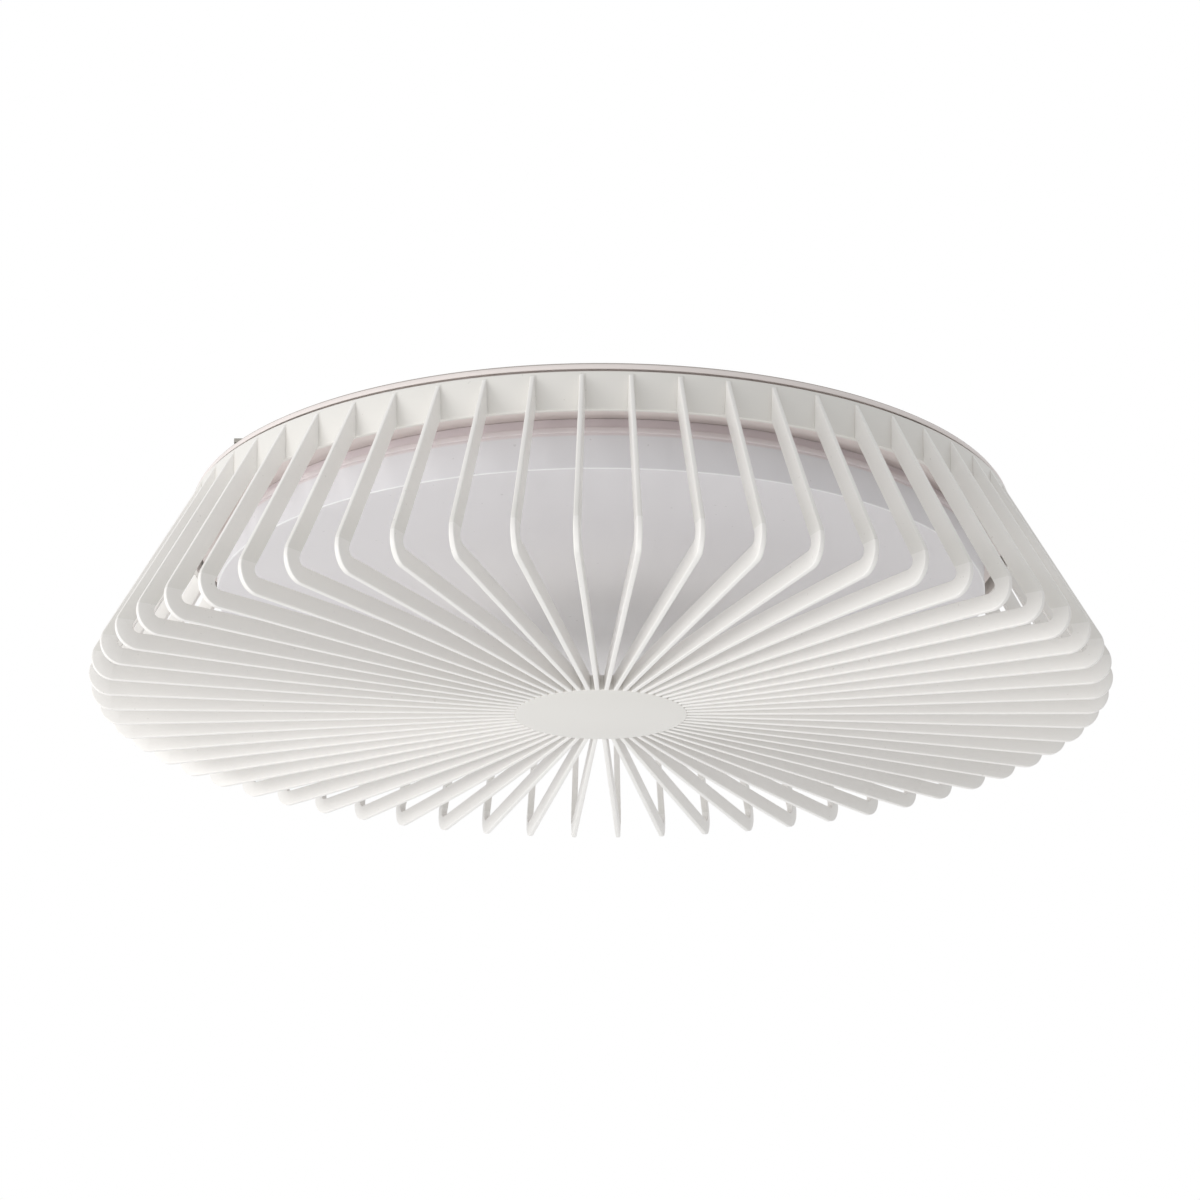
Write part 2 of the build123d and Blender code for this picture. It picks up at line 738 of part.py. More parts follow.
foot_screw = screw(
    screw_diameter,
    screw_head_diameter,
    screw_head_height,
    terminal_foot_height + pan_sheet + screw_past_plate,
)
with BuildPart() as terminal_mounting_screws:
    with Locations(Plane.XY.offset(plate_bottom - terminal_foot_height)):
        with Locations(*terminal_screw_places):
            add(foot_screw)
terminal_mounting_screws.part.label = "terminal_mounting_screws"
export_step(terminal_mounting_screws.part, "parts/terminal_mounting_screws.step")

# The earth connection: a ring lug under a screw in the plate
barrel_radius = lead_radius + earth_barrel_wall
barrel_level = plate_bottom - barrel_radius
barrel_end = earth_y - earth_lug_diameter / 2 - earth_barrel_length
with BuildPart() as earth_lug:
    with BuildSketch(Plane.XY.offset(plate_bottom)):
        with Locations((earth_x, earth_y)):
            Circle(earth_lug_diameter / 2)
        with Locations((earth_x, earth_y - earth_lug_diameter / 2)):
            Rectangle(2 * barrel_radius, 2 * barrel_radius)
    extrude(amount=-earth_lug_thickness)
    with BuildSketch(Plane.XZ.offset(-barrel_end)):
        with Locations((earth_x, barrel_level)):
            Circle(barrel_radius)
    extrude(amount=-earth_barrel_length)
    with BuildSketch(Plane.XZ.offset(-barrel_end)):
        with Locations((earth_x, barrel_level)):
            Circle(lead_radius + bore_gap)
    extrude(amount=-earth_barrel_length + earth_barrel_wall, mode=Mode.SUBTRACT)
    with BuildSketch(Plane.XY.offset(plate_bottom)):
        with Locations((earth_x, earth_y)):
            Circle(earth_screw_diameter / 2 + bore_gap)
    extrude(amount=-earth_lug_thickness, mode=Mode.SUBTRACT)
earth_lug.part.label = "earth_lug"
export_step(earth_lug.part, "parts/earth_lug.step")

earth_fastener = screw(
    earth_screw_diameter,
    earth_screw_head_diameter,
    earth_screw_head_height,
    earth_lug_thickness + pan_sheet + screw_past_plate,
)
with BuildPart() as earth_screw:
    with Locations((earth_x, earth_y, plate_bottom - earth_lug_thickness)):
        add(earth_fastener)
earth_screw.part.label = "earth_screw"
export_step(earth_screw.part, "parts/earth_screw.step")

# The driver: a case under the plate, closed by a cover that clips in from below
case_inner_length = driver_length - 2 * driver_wall
case_inner_width = driver_width - 2 * driver_wall
case_bottom = plate_bottom - driver_height
circuit_top = plate_bottom - driver_wall - circuit_standoff
circuit_bottom = circuit_top - circuit_thickness
mains_entries = [mains_entry_y, mains_entry_y - mains_entry_spacing]
output_entries = [-output_entry_y, output_entry_y]
lead_hole = lead_radius + lead_gap
ear_thickness = driver_ear_thickness
with BuildPart() as driver_case:
    with BuildSketch(Plane.XY.offset(case_bottom)):
        RectangleRounded(driver_length, driver_width, driver_corner)
    extrude(amount=driver_height)
    with BuildSketch(Plane.XY.offset(case_bottom)):
        Rectangle(case_inner_length, case_inner_width)
    extrude(amount=driver_height - driver_wall, mode=Mode.SUBTRACT)
    with BuildSketch(Plane.XY.offset(circuit_top)):
        with GridLocations(
            case_inner_length - 2 * circuit_post_inset,
            case_inner_width - 2 * circuit_post_inset,
            2,
            2,
        ):
            Circle(circuit_post_diameter / 2)
    extrude(amount=circuit_standoff)
    with BuildSketch(Plane.XY.offset(plate_bottom - ear_thickness)):
        with Locations(*driver_screw_places):
            Rectangle(driver_ear_length, driver_ear_width)
    extrude(amount=ear_thickness)
    with BuildSketch(Plane.XY.offset(plate_bottom)):
        with Locations(*driver_screw_places):
            Circle(screw_hole)
    extrude(amount=-ear_thickness, mode=Mode.SUBTRACT)
    wall_x = driver_length / 2 - driver_wall / 2
    with Locations(
        *[(wall_x, entry, lead_level) for entry in mains_entries],
        *[(-wall_x, entry, lead_level) for entry in output_entries],
    ):
        Cylinder(lead_hole, 2 * driver_wall, rotation=(0, 90, 0), mode=Mode.SUBTRACT)
driver_case.part.label = "driver_case"
export_step(driver_case.part, "parts/driver_case.step")

with BuildPart() as driver_cover:
    with BuildSketch(Plane.XY.offset(case_bottom - driver_cover_thickness)):
        RectangleRounded(driver_length, driver_width, driver_corner)
    extrude(amount=driver_cover_thickness)
    with BuildSketch(Plane.XY.offset(case_bottom)):
        Rectangle(case_inner_length - 2 * bore_gap, case_inner_width - 2 * bore_gap)
        Rectangle(
            case_inner_length - 2 * driver_wall,
            case_inner_width - 2 * driver_wall,
            mode=Mode.SUBTRACT,
        )
    extrude(amount=driver_cover_lip)
driver_cover.part.label = "driver_cover"
export_step(driver_cover.part, "parts/driver_cover.step")

driver_fastener = screw(
    screw_diameter,
    screw_head_diameter,
    screw_head_height,
    ear_thickness + pan_sheet + screw_past_plate,
)
with BuildPart() as driver_screws:
    with Locations(Plane.XY.offset(plate_bottom - ear_thickness)):
        with Locations(*driver_screw_places):
            add(driver_fastener)
driver_screws.part.label = "driver_screws"
export_step(driver_screws.part, "parts/driver_screws.step")

# What the driver's circuit board carries, all hanging from its lower face
with BuildPart() as driver_board:
    with BuildSketch(Plane.XY.offset(circuit_bottom)):
        Rectangle(case_inner_length - 2 * circuit_margin, case_inner_width - 2 * circuit_margin)
    extrude(amount=circuit_thickness)
driver_board.part.label = "driver_board"
export_step(driver_board.part, "parts/driver_board.step")

core_level = circuit_bottom - core_height / 2
window_height = core_height - 2 * core_leg
window_width = (core_width - core_centre_leg) / 2 - core_leg
window_y = (core_centre_leg + window_width) / 2
with BuildPart() as driver_transformer_core:
    with BuildSketch(Plane.YZ.offset(transformer_x)):
        with Locations((0, core_level)):
            Rectangle(core_width, core_height)
        with Locations((-window_y, core_level), (window_y, core_level)):
            Rectangle(window_width, window_height, mode=Mode.SUBTRACT)
    extrude(amount=core_depth / 2, both=True)
driver_transformer_core.part.label = "driver_transformer_core"
export_step(driver_transformer_core.part, "parts/driver_transformer_core.step")

winding_height = window_height - 2 * bore_gap
with BuildPart() as driver_transformer_winding:
    with BuildSketch(Plane.XY.offset(core_level - winding_height / 2)):
        with Locations((transformer_x, 0)):
            RectangleRounded(
                winding_length,
                core_centre_leg + 2 * window_width - 2 * bore_gap,
                core_leg,
            )
            Rectangle(
                core_depth + 2 * bore_gap, core_centre_leg + 2 * bore_gap, mode=Mode.SUBTRACT
            )
    extrude(amount=winding_height)
driver_transformer_winding.part.label = "driver_transformer_winding"
export_step(driver_transformer_winding.part, "parts/driver_transformer_winding.step")

with BuildPart() as driver_capacitors:
    with BuildSketch(Plane.XY.offset(circuit_bottom)):
        with Locations(*capacitor_places):
            Circle(capacitor_diameter / 2)
    extrude(amount=-capacitor_height)
    fillet(driver_capacitors.edges().group_by(Axis.Z)[0], capacitor_diameter / 12)
driver_capacitors.part.label = "driver_capacitors"
export_step(driver_capacitors.part, "parts/driver_capacitors.step")

with BuildPart() as driver_choke:
    with BuildSketch(Plane.XY.offset(circuit_bottom)):
        with Locations(choke_place):
            Circle(choke_outer_diameter / 2)
            Circle(choke_inner_diameter / 2, mode=Mode.SUBTRACT)
    extrude(amount=-choke_height)
    fillet(driver_choke.edges().group_by(Axis.Z)[0], choke_height / 5)
driver_choke.part.label = "driver_choke"
export_step(driver_choke.part, "parts/driver_choke.step")

with BuildPart() as driver_semiconductors:
    with BuildSketch(Plane.XY.offset(circuit_bottom)):
        with Locations(*chip_places):
            Rectangle(chip_length, chip_width)
    extrude(amount=-chip_height)
driver_semiconductors.part.label = "driver_semiconductors"
export_step(driver_semiconductors.part, "parts/driver_semiconductors.step")

# Four curved circuit boards with the light-emitting chips and a lens over each chip
board_outline = sector(
    board_inner_radius,
    board_outer_radius,
    board_gap_angle / 2,
    360 / board_count - board_gap_angle / 2,
)
board_bottom = plate_bottom - board_thickness
for number in range(board_count):
    board_turn = number * 360 / board_count
    with BuildPart() as led_board:
        with BuildSketch(Plane.XY.offset(board_bottom)):
            with Locations(Rotation(0, 0, board_turn)):
                add(board_outline)
            with Locations(*board_screw_places):
                Circle(screw_hole, mode=Mode.SUBTRACT)
        extrude(amount=board_thickness)
    led_board.part.label = f"led_board_{number + 1}"
    export_step(led_board.part, f"parts/led_board_{number + 1}.step")

led_circle_radius = (board_inner_radius + board_outer_radius) / 2
led_places = []
for azimuth in board_azimuths:
    for number in range(leds_per_board):
        led_azimuth = azimuth + (number - (leds_per_board - 1) / 2) * led_pitch_angle
        led_place = at(led_circle_radius, led_azimuth, board_bottom)
        led_places.append(Location(led_place, (0, 0, led_azimuth)))
with BuildPart() as led_chips:
    with Locations(*led_places):
        Box(led_size, led_size, led_height, align=(Align.CENTER, Align.CENTER, Align.MAX))
led_chips.part.label = "led_chips"
export_step(led_chips.part, "parts/led_chips.step")

lens_radius = lens_diameter / 2
with BuildPart() as lens:
    with BuildSketch(Plane.XZ):
        with BuildLine():
            Line((0, lens_wall - lens_height), (0, -lens_height))
            TangentArc((0, -lens_height), (lens_radius, 0), tangent=(1, 0))
            Line((lens_radius, 0), (lens_radius - lens_wall, 0))
            TangentArc(
                (0, lens_wall - lens_height), (lens_radius - lens_wall, 0), tangent=(1, 0)
            )
        make_face()
    revolve(axis=Axis.Z)
with BuildPart() as led_lenses:
    with Locations(*led_places):
        add(lens.part)
led_lenses.part.label = "led_lenses"
export_step(led_lenses.part, "parts/led_lenses.step")

# Connectors at both ends of each board; short links join the boards, one gap stays open
connector_radius = board_inner_radius + connector_inset
connector_azimuths = []
for number in range(board_count):
    gap_azimuth = number * 360 / board_count
    connector_azimuths += [gap_azimuth - connector_angle, gap_azimuth + connector_angle]
connector_places = []
for azimuth in connector_azimuths:
    place = at(connector_radius, azimuth, board_bottom)
    connector_places.append(Location(place, (0, 0, azimuth)))
with BuildPart() as board_connectors:
    with Locations(*connector_places):
        Box(
            connector_width,
            connector_length,
            connector_height,
            align=(Align.CENTER, Align.CENTER, Align.MAX),
        )
board_connectors.part.label = "board_connectors"
export_step(board_connectors.part, "parts/board_connectors.step")

board_fastener = screw(
    screw_diameter,
    screw_head_diameter,
    screw_head_height,
    board_thickness + pan_sheet + screw_past_plate,
)
with BuildPart() as board_screws:
    with Locations(Plane.XY.offset(board_bottom)):
        with Locations(*board_screw_places):
            add(board_fastener)
board_screws.part.label = "board_screws"
export_step(board_screws.part, "parts/board_screws.step")

link_level = board_bottom - connector_height / 2
link_apex = connector_radius / math.cos(math.radians(connector_angle))
link_end = connector_radius * math.tan(math.radians(connector_angle)) - connector_length / 2
with BuildPart() as one_link:
    apex = Vector(link_apex, 0, link_level)
    towards = Vector(*at(link_end, 90 + connector_angle))
    back = Vector(*at(link_end, -90 - connector_angle))
    add(lead(apex + towards, apex, apex + back))
with BuildPart() as board_links:
    with PolarLocations(0, 3, start_angle=-360 / board_count, angular_range=180):
        add(one_link.part)
board_links.part.label = "board_links"
export_step(board_links.part, "parts/board_links.step")

# Leads from the terminal block to the driver and from the driver to the first boards
lead_start = terminal_centre_x - terminal_length / 2 + terminal_grip
lead_leaves = terminal_centre_x - terminal_length / 2 - terminal_straight
lead_arrives = driver_end + mains_straight
lead_inside = driver_end - lead_past_wall
with BuildPart() as mains_leads:
    for pole_y, entry in zip((0, -terminal_pitch), mains_entries):
        add(
            lead(
                (lead_start, pole_y, lead_level),
                (lead_leaves, pole_y, lead_level),
                (lead_arrives, entry, lead_level),
                (lead_inside, entry, lead_level),
            )
        )
mains_leads.part.label = "mains_leads"
export_step(mains_leads.part, "parts/mains_leads.step")

with BuildPart() as earth_lead:
    add(
        lead(
            (lead_start, terminal_pitch, lead_level),
            (lead_leaves, terminal_pitch, lead_level),
            (earth_x, (terminal_pitch + barrel_end) / 2, barrel_level),
            (earth_x, barrel_end + earth_grip, barrel_level),
        )
    )
earth_lead.part.label = "earth_lead"
export_step(earth_lead.part, "parts/earth_lead.step")

connector_inner = connector_radius - connector_width / 2
clip_y = at(connector_inner - output_run_in, connector_angle)[1]
with BuildPart() as output_leads:
    for side in (-1, 1):
        azimuth = 180 - side * connector_angle
        add(
            lead(
                (-lead_inside, side * output_entry_y, lead_level),
                (-driver_end - output_straight, side * output_entry_y, lead_level),
                (clip_x + clip_length, side * clip_y, link_level),
                at(connector_inner - output_run_in, azimuth, link_level),
                at(connector_inner, azimuth, link_level),
            )
        )
output_leads.part.label = "output_leads"
export_step(output_leads.part, "parts/output_leads.step")

clip_height = plate_bottom - link_level + lead_radius + clip_wall
with BuildPart() as wire_clips:
    with BuildSketch(Plane.XY.offset(plate_bottom)):
        with Locations((clip_x, -clip_y), (clip_x, clip_y)):
            Rectangle(clip_length, clip_width)
    extrude(amount=-clip_height)
    fillet(wire_clips.faces().group_by(Axis.Z)[0].edges().filter_by(Axis.X), clip_wall)
    with Locations((clip_x, -clip_y, link_level), (clip_x, clip_y, link_level)):
        Cylinder(lead_hole, clip_length, rotation=(0, 90, 0), mode=Mode.SUBTRACT)
wire_clips.part.label = "wire_clips"
export_step(wire_clips.part, "parts/wire_clips.step")
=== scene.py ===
import bpy
import bmesh
import json
import math
from mathutils import Matrix, Vector

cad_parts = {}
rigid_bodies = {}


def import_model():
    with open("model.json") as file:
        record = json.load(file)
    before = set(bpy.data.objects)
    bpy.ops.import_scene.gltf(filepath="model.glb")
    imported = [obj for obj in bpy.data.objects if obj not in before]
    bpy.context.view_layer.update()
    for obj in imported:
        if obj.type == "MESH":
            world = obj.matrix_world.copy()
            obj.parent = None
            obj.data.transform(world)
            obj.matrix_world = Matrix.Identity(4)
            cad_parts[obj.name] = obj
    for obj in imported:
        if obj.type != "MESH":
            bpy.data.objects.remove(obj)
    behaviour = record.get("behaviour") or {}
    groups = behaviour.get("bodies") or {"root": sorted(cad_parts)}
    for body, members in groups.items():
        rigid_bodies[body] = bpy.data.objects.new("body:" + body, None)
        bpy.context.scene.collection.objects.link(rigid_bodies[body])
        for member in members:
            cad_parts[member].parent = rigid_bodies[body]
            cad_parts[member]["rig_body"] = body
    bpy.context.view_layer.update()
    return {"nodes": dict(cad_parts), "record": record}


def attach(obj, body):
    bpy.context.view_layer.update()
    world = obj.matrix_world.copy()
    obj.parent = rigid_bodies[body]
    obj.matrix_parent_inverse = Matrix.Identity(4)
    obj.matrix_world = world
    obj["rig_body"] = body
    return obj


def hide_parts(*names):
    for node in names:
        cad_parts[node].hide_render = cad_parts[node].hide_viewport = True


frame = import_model()
nodes = frame["nodes"]
print("frame loaded:", len(nodes), "CAD nodes")

mm = 0.001


# camera: below the light and in front of it, looking up at it
cameraView = {
    "distance": 1582.1,      # mm from the light's axis
    "drop": 592.5,           # mm below the ceiling plane
    "turn": 0.665,           # degrees round the axis, so a gap between ribs sits on the middle
    "pan": 0.02,
    "tilt": 18.916,
    "roll": 0.028,
    "lens": 83.38,
    "sensor": 36,
}


def addCamera():
    turn = math.radians(cameraView["turn"])
    reach = cameraView["distance"] * mm
    place = Vector((-reach * math.sin(turn), -reach * math.cos(turn), -cameraView["drop"] * mm))
    heading = turn - math.radians(cameraView["pan"])
    tilt = math.radians(cameraView["tilt"])
    look = Vector((math.sin(heading) * math.cos(tilt), math.cos(heading) * math.cos(tilt), math.sin(tilt)))
    data = bpy.data.cameras.new("photoCamera")
    data.lens = cameraView["lens"]
    data.sensor_width = cameraView["sensor"]
    data.clip_start, data.clip_end = 0.05, 20
    camera = bpy.data.objects.new("photoCamera", data)
    bpy.context.scene.collection.objects.link(camera)
    camera.rotation_mode = "QUATERNION"
    camera.rotation_quaternion = look.to_track_quat("-Z", "Y") @ Matrix.Rotation(
        math.radians(cameraView["roll"]), 4, "Z").to_quaternion()
    camera.location = place
    bpy.context.scene.camera = camera


addCamera()


# material steps, each adds one trait to a shader
def newMaterial(name, colour, roughness, metallic=0.0, specular=0.5):
    material = bpy.data.materials.new(name)
    material.use_nodes = True
    shader = material.node_tree.nodes["Principled BSDF"]
    shader.inputs["Base Color"].default_value = (*colour, 1)
    shader.inputs["Roughness"].default_value = roughness
    shader.inputs["Metallic"].default_value = metallic
    shader.inputs["Specular IOR Level"].default_value = specular
    return material, material.node_tree, shader


def noiseOn(tree, scale, detail=3):
    place = tree.nodes.new("ShaderNodeTexCoord")
    noise = tree.nodes.new("ShaderNodeTexNoise")
    noise.inputs["Scale"].default_value = scale
    noise.inputs["Detail"].default_value = detail
    noise.inputs["Roughness"].default_value = 0.5
    tree.links.new(place.outputs["Object"], noise.inputs["Vector"])
    return noise.outputs["Fac"]


def spread(tree, value, fromLow, fromHigh, low, high, curve="LINEAR"):
    ranged = tree.nodes.new("ShaderNodeMapRange")
    ranged.interpolation_type = curve
    ranged.inputs["From Min"].default_value = fromLow
    ranged.inputs["From Max"].default_value = fromHigh
    ranged.inputs["To Min"].default_value = low
    ranged.inputs["To Max"].default_value = high
    tree.links.new(value, ranged.inputs["Value"])
    return ranged.outputs["Result"]


def combine(tree, operation, first, second):
    maths = tree.nodes.new("ShaderNodeMath")
    maths.operation = operation
    for socket, value in zip(maths.inputs, (first, second)):
        if isinstance(value, (int, float)):
            socket.default_value = value
        else:
            tree.links.new(value, socket)
    return maths.outputs["Value"]


def tint(tree, shader, factor, colour):
    base = shader.inputs["Base Color"]
    mix = tree.nodes.new("ShaderNodeMix")
    mix.data_type = "RGBA"
    amount, first, second = mix.inputs[0], mix.inputs[6], mix.inputs[7]
    tree.links.new(factor, amount)
    if base.is_linked:
        tree.links.new(base.links[0].from_socket, first)
    else:
        first.default_value = base.default_value
    second.default_value = (*colour, 1)
    tree.links.new(mix.outputs[2], base)


def mottle(tree, shader, darker, lighter, scale, detail=3):
    ramp = tree.nodes.new("ShaderNodeValToRGB")
    ramp.color_ramp.elements[0].position = 0.3
    ramp.color_ramp.elements[0].color = (*darker, 1)
    ramp.color_ramp.elements[1].position = 0.7
    ramp.color_ramp.elements[1].color = (*lighter, 1)
    tree.links.new(noiseOn(tree, scale, detail), ramp.inputs["Fac"])
    tree.links.new(ramp.outputs["Color"], shader.inputs["Base Color"])


def varyRoughness(tree, shader, low, high, scale):
    value = spread(tree, noiseOn(tree, scale, 4), 0.3, 0.7, low, high)
    tree.links.new(value, shader.inputs["Roughness"])


def grain(tree, shader, scale, strength, distance=0.0002, detail=3):
    bump = tree.nodes.new("ShaderNodeBump")
    bump.inputs["Strength"].default_value = strength
    bump.inputs["Distance"].default_value = distance
    tree.links.new(noiseOn(tree, scale, detail), bump.inputs["Height"])
    normal = shader.inputs["Normal"]
    if normal.is_linked:
        tree.links.new(normal.links[0].from_socket, bump.inputs["Normal"])
    tree.links.new(bump.outputs["Normal"], normal)


def levelAndReach(tree):
    place = tree.nodes.new("ShaderNodeTexCoord")
    split = tree.nodes.new("ShaderNodeSeparateXYZ")
    tree.links.new(place.outputs["Object"], split.inputs["Vector"])
    flat = tree.nodes.new("ShaderNodeCombineXYZ")
    tree.links.new(split.outputs["X"], flat.inputs["X"])
    tree.links.new(split.outputs["Y"], flat.inputs["Y"])
    reach = tree.nodes.new("ShaderNodeVectorMath")
    reach.operation = "LENGTH"
    tree.links.new(flat.outputs["Vector"], reach.inputs[0])
    return split.outputs["Z"], reach.outputs["Value"]


def specks(tree, shader, scale, threshold, strength, colour):
    dots = spread(tree, noiseOn(tree, scale, 1), threshold, threshold + 0.02, 0, strength)
    tint(tree, shader, dots, colour)


def shade(colour, factor):
    return tuple(min(1, c * factor) for c in colour)


def moulded(name, colour, roughness, graininess=0.15, change=0.02, scale=9, specular=0.5):
    material, tree, shader = newMaterial(name, colour, roughness, specular=specular)
    mottle(tree, shader, shade(colour, 1 - change), shade(colour, 1 + change), scale)
    varyRoughness(tree, shader, roughness - 0.05, roughness + 0.06, 24)
    grain(tree, shader, 1400, graininess)
    return material


def plated(name, colour, roughness, scale=320):
    material, tree, shader = newMaterial(name, colour, roughness, metallic=1.0)
    mottle(tree, shader, shade(colour, 0.86), shade(colour, 1.1), 60, 5)
    varyRoughness(tree, shader, roughness - 0.08, roughness + 0.12, scale)
    grain(tree, shader, 900, 0.08)
    return material


# the cage's plastic: warm white, satin; painted shade darkens it just above the parting line of the mould and on the
# ring and hub, and a painted highlight runs along the parting line
cageFinish = {
    "colour": (0.915, 0.894, 0.863),
    "roughness": 0.36,
    # painted shade: a darker tone just above the parting line, fading away up the skirt
    "creaseShadeColour": (0.7, 0.685, 0.63),
    "creaseShadeShare": 0.3,
    "partingLevel": -109,       # mm
    "creaseShadeReach": 34,
    # painted highlight: a thin lighter line along the parting line
    "creaseHighlightWidth": 0.22,
    "creaseHighlight": (0.93, 0.92, 0.9),
    # painted shade: the ring and hub darker and warmer than the ribs, though all are one plastic
    "ringHubShade": (0.81, 0.788, 0.748),
    "hubReach": 51.3,
    "ringReach": 247.8,
    "ringLevel": -31,
}


def cageMaterial():
    look = cageFinish
    material, tree, shader = newMaterial("satinWhite", look["colour"], look["roughness"])
    mottle(tree, shader, shade(look["colour"], 0.985), shade(look["colour"], 1.012), 7)
    level, reach = levelAndReach(tree)
    # painted shade: the ring and the hub tinted darker and warmer than the ribs, though all are one plastic
    inHub = spread(tree, reach, look["hubReach"] * mm, (look["hubReach"] + 0.2) * mm, 1, 0)
    inRing = combine(tree, "MULTIPLY", combine(tree, "LESS_THAN", reach, look["ringReach"] * mm),
                     combine(tree, "GREATER_THAN", level, look["ringLevel"] * mm))
    tint(tree, shader, combine(tree, "MAXIMUM", inHub, inRing), look["ringHubShade"])
    parting = look["partingLevel"] * mm
    # painted shade: a darker tone just above the parting line, fading away up the skirt
    creaseShadeFade = spread(tree, level, parting, parting + look["creaseShadeReach"] * mm, look["creaseShadeShare"], 0, "SMOOTHSTEP")
    above = spread(tree, level, parting, parting + 0.05 * mm, 0, 1)
    tint(tree, shader, combine(tree, "MULTIPLY", creaseShadeFade, above), look["creaseShadeColour"])
    # painted highlight: a thin lighter line along the parting line
    offLine = combine(tree, "ABSOLUTE", combine(tree, "SUBTRACT", level, parting), 0)
    tint(tree, shader, spread(tree, offLine, 0, look["creaseHighlightWidth"] * mm, 0.6, 0), look["creaseHighlight"])
    specks(tree, shader, 420, 0.77, 0.25, (0.5, 0.47, 0.43))
    varyRoughness(tree, shader, look["roughness"] - 0.05, look["roughness"] + 0.07, 18)
    grain(tree, shader, 70, 0.05, 0.0006, 2)
    grain(tree, shader, 1500, 0.12)
    return material


# the diffuser's opal plastic: cool grey-white below, paler towards the centre by painted light, darker and pinker on
# its lip and neck by painted shade and pink bounce light, with a painted highlight round its shoulder
opalFinish = {
    "colour": (0.77, 0.752, 0.768),
    # painted light: paler towards the centre of the dome
    "centrePaintedLight": (0.88, 0.862, 0.868),
    "centreLightReach": (60, 165),       # full within the first radius, gone at the second
    # painted shade and pink bounce light from the pan: the lip darker and pinker, the neck pinker
    "lipShadeAndBounce": (0.72, 0.65, 0.65),
    "neckShadeAndBounce": (0.79, 0.715, 0.73),
    "lipLevel": -36.6,          # mm
    "neckLevel": -33.2,
    "footLevel": -55.45,
    "footRadius": 228.3,
    # painted highlight: a lighter band round the rounded shoulder below the drum's foot
    "shoulderHighlight": (0.93, 0.93, 0.93),
    "roughness": 0.34,
}


def opalMaterial():
    look = opalFinish
    material, tree, shader = newMaterial("opalWhite", look["colour"], look["roughness"])
    mottle(tree, shader, shade(look["colour"], 0.985), shade(look["colour"], 1.012), 5)
    level, reach = levelAndReach(tree)
    lip, neck, foot = look["lipLevel"] * mm, look["neckLevel"] * mm, look["footLevel"] * mm
    inner, outer = (radius * mm for radius in look["centreLightReach"])
    # painted light: paler towards the centre of the dome
    tint(tree, shader, spread(tree, reach, inner, outer, 1, 0, "SMOOTHSTEP"), look["centrePaintedLight"])
    # painted shade and pink bounce light from the pan: the lip darker and pinker, the neck pinker
    tint(tree, shader, spread(tree, level, lip - 1.2 * mm, lip, 0, 1), look["lipShadeAndBounce"])
    tint(tree, shader, spread(tree, level, neck, neck + 0.3 * mm, 0, 1), look["neckShadeAndBounce"])
    # painted highlight: a lighter band round the rounded shoulder below the drum's foot
    low = spread(tree, level, foot - 0.1 * mm, foot, 0.7, 0)
    wide = spread(tree, reach, (look["footRadius"] - 0.1) * mm, look["footRadius"] * mm, 0, 1)
    tint(tree, shader, combine(tree, "MULTIPLY", low, wide), look["shoulderHighlight"])
    specks(tree, shader, 300, 0.775, 0.3, (0.42, 0.4, 0.4))
    varyRoughness(tree, shader, look["roughness"] - 0.04, look["roughness"] + 0.06, 12)
    grain(tree, shader, 40, 0.04, 0.0008, 2)
    grain(tree, shader, 1800, 0.05)
    shader.inputs["Subsurface Weight"].default_value = 0.12
    shader.inputs["Subsurface Radius"].default_value = (0.004, 0.004, 0.004)
    return material


# the pan's powder coat: pinkish white with fine orange peel; a painted shade darkens the top of its rim's outer edge
panFinish = {
    "colour": (0.855, 0.785, 0.755),
    "roughness": 0.46,
    # painted shade: a dark line along the top of the rim's outer edge
    "rimEdgeShade": (0.26, 0.215, 0.18),
    "edgeLevel": -3.7,          # mm
    "edgeRadius": 243.5,
}


def panMaterial():
    look = panFinish
    material, tree, shader = newMaterial("powderWhite", look["colour"], look["roughness"])
    mottle(tree, shader, shade(look["colour"], 0.975), shade(look["colour"], 1.02), 14)
    level, reach = levelAndReach(tree)
    edgeLevel, edgeRadius = look["edgeLevel"] * mm, look["edgeRadius"] * mm
    # painted shade: a dark line along the top of the rim's outer edge
    high = spread(tree, level, edgeLevel - 0.25 * mm, edgeLevel, 0, 0.8)
    wide = spread(tree, reach, edgeRadius - 0.5 * mm, edgeRadius, 0, 1)
    tint(tree, shader, combine(tree, "MULTIPLY", high, wide), look["rimEdgeShade"])
    varyRoughness(tree, shader, look["roughness"] - 0.05, look["roughness"] + 0.06, 30)
    grain(tree, shader, 420, 0.16, 0.0003)
    grain(tree, shader, 1700, 0.1)
    return material


def clearPlastic():
    material, tree, shader = newMaterial("clearLens", (0.95, 0.96, 0.97), 0.08)
    shader.inputs["Transmission Weight"].default_value = 0.9
    shader.inputs["IOR"].default_value = 1.49
    grain(tree, shader, 300, 0.04)
    return material


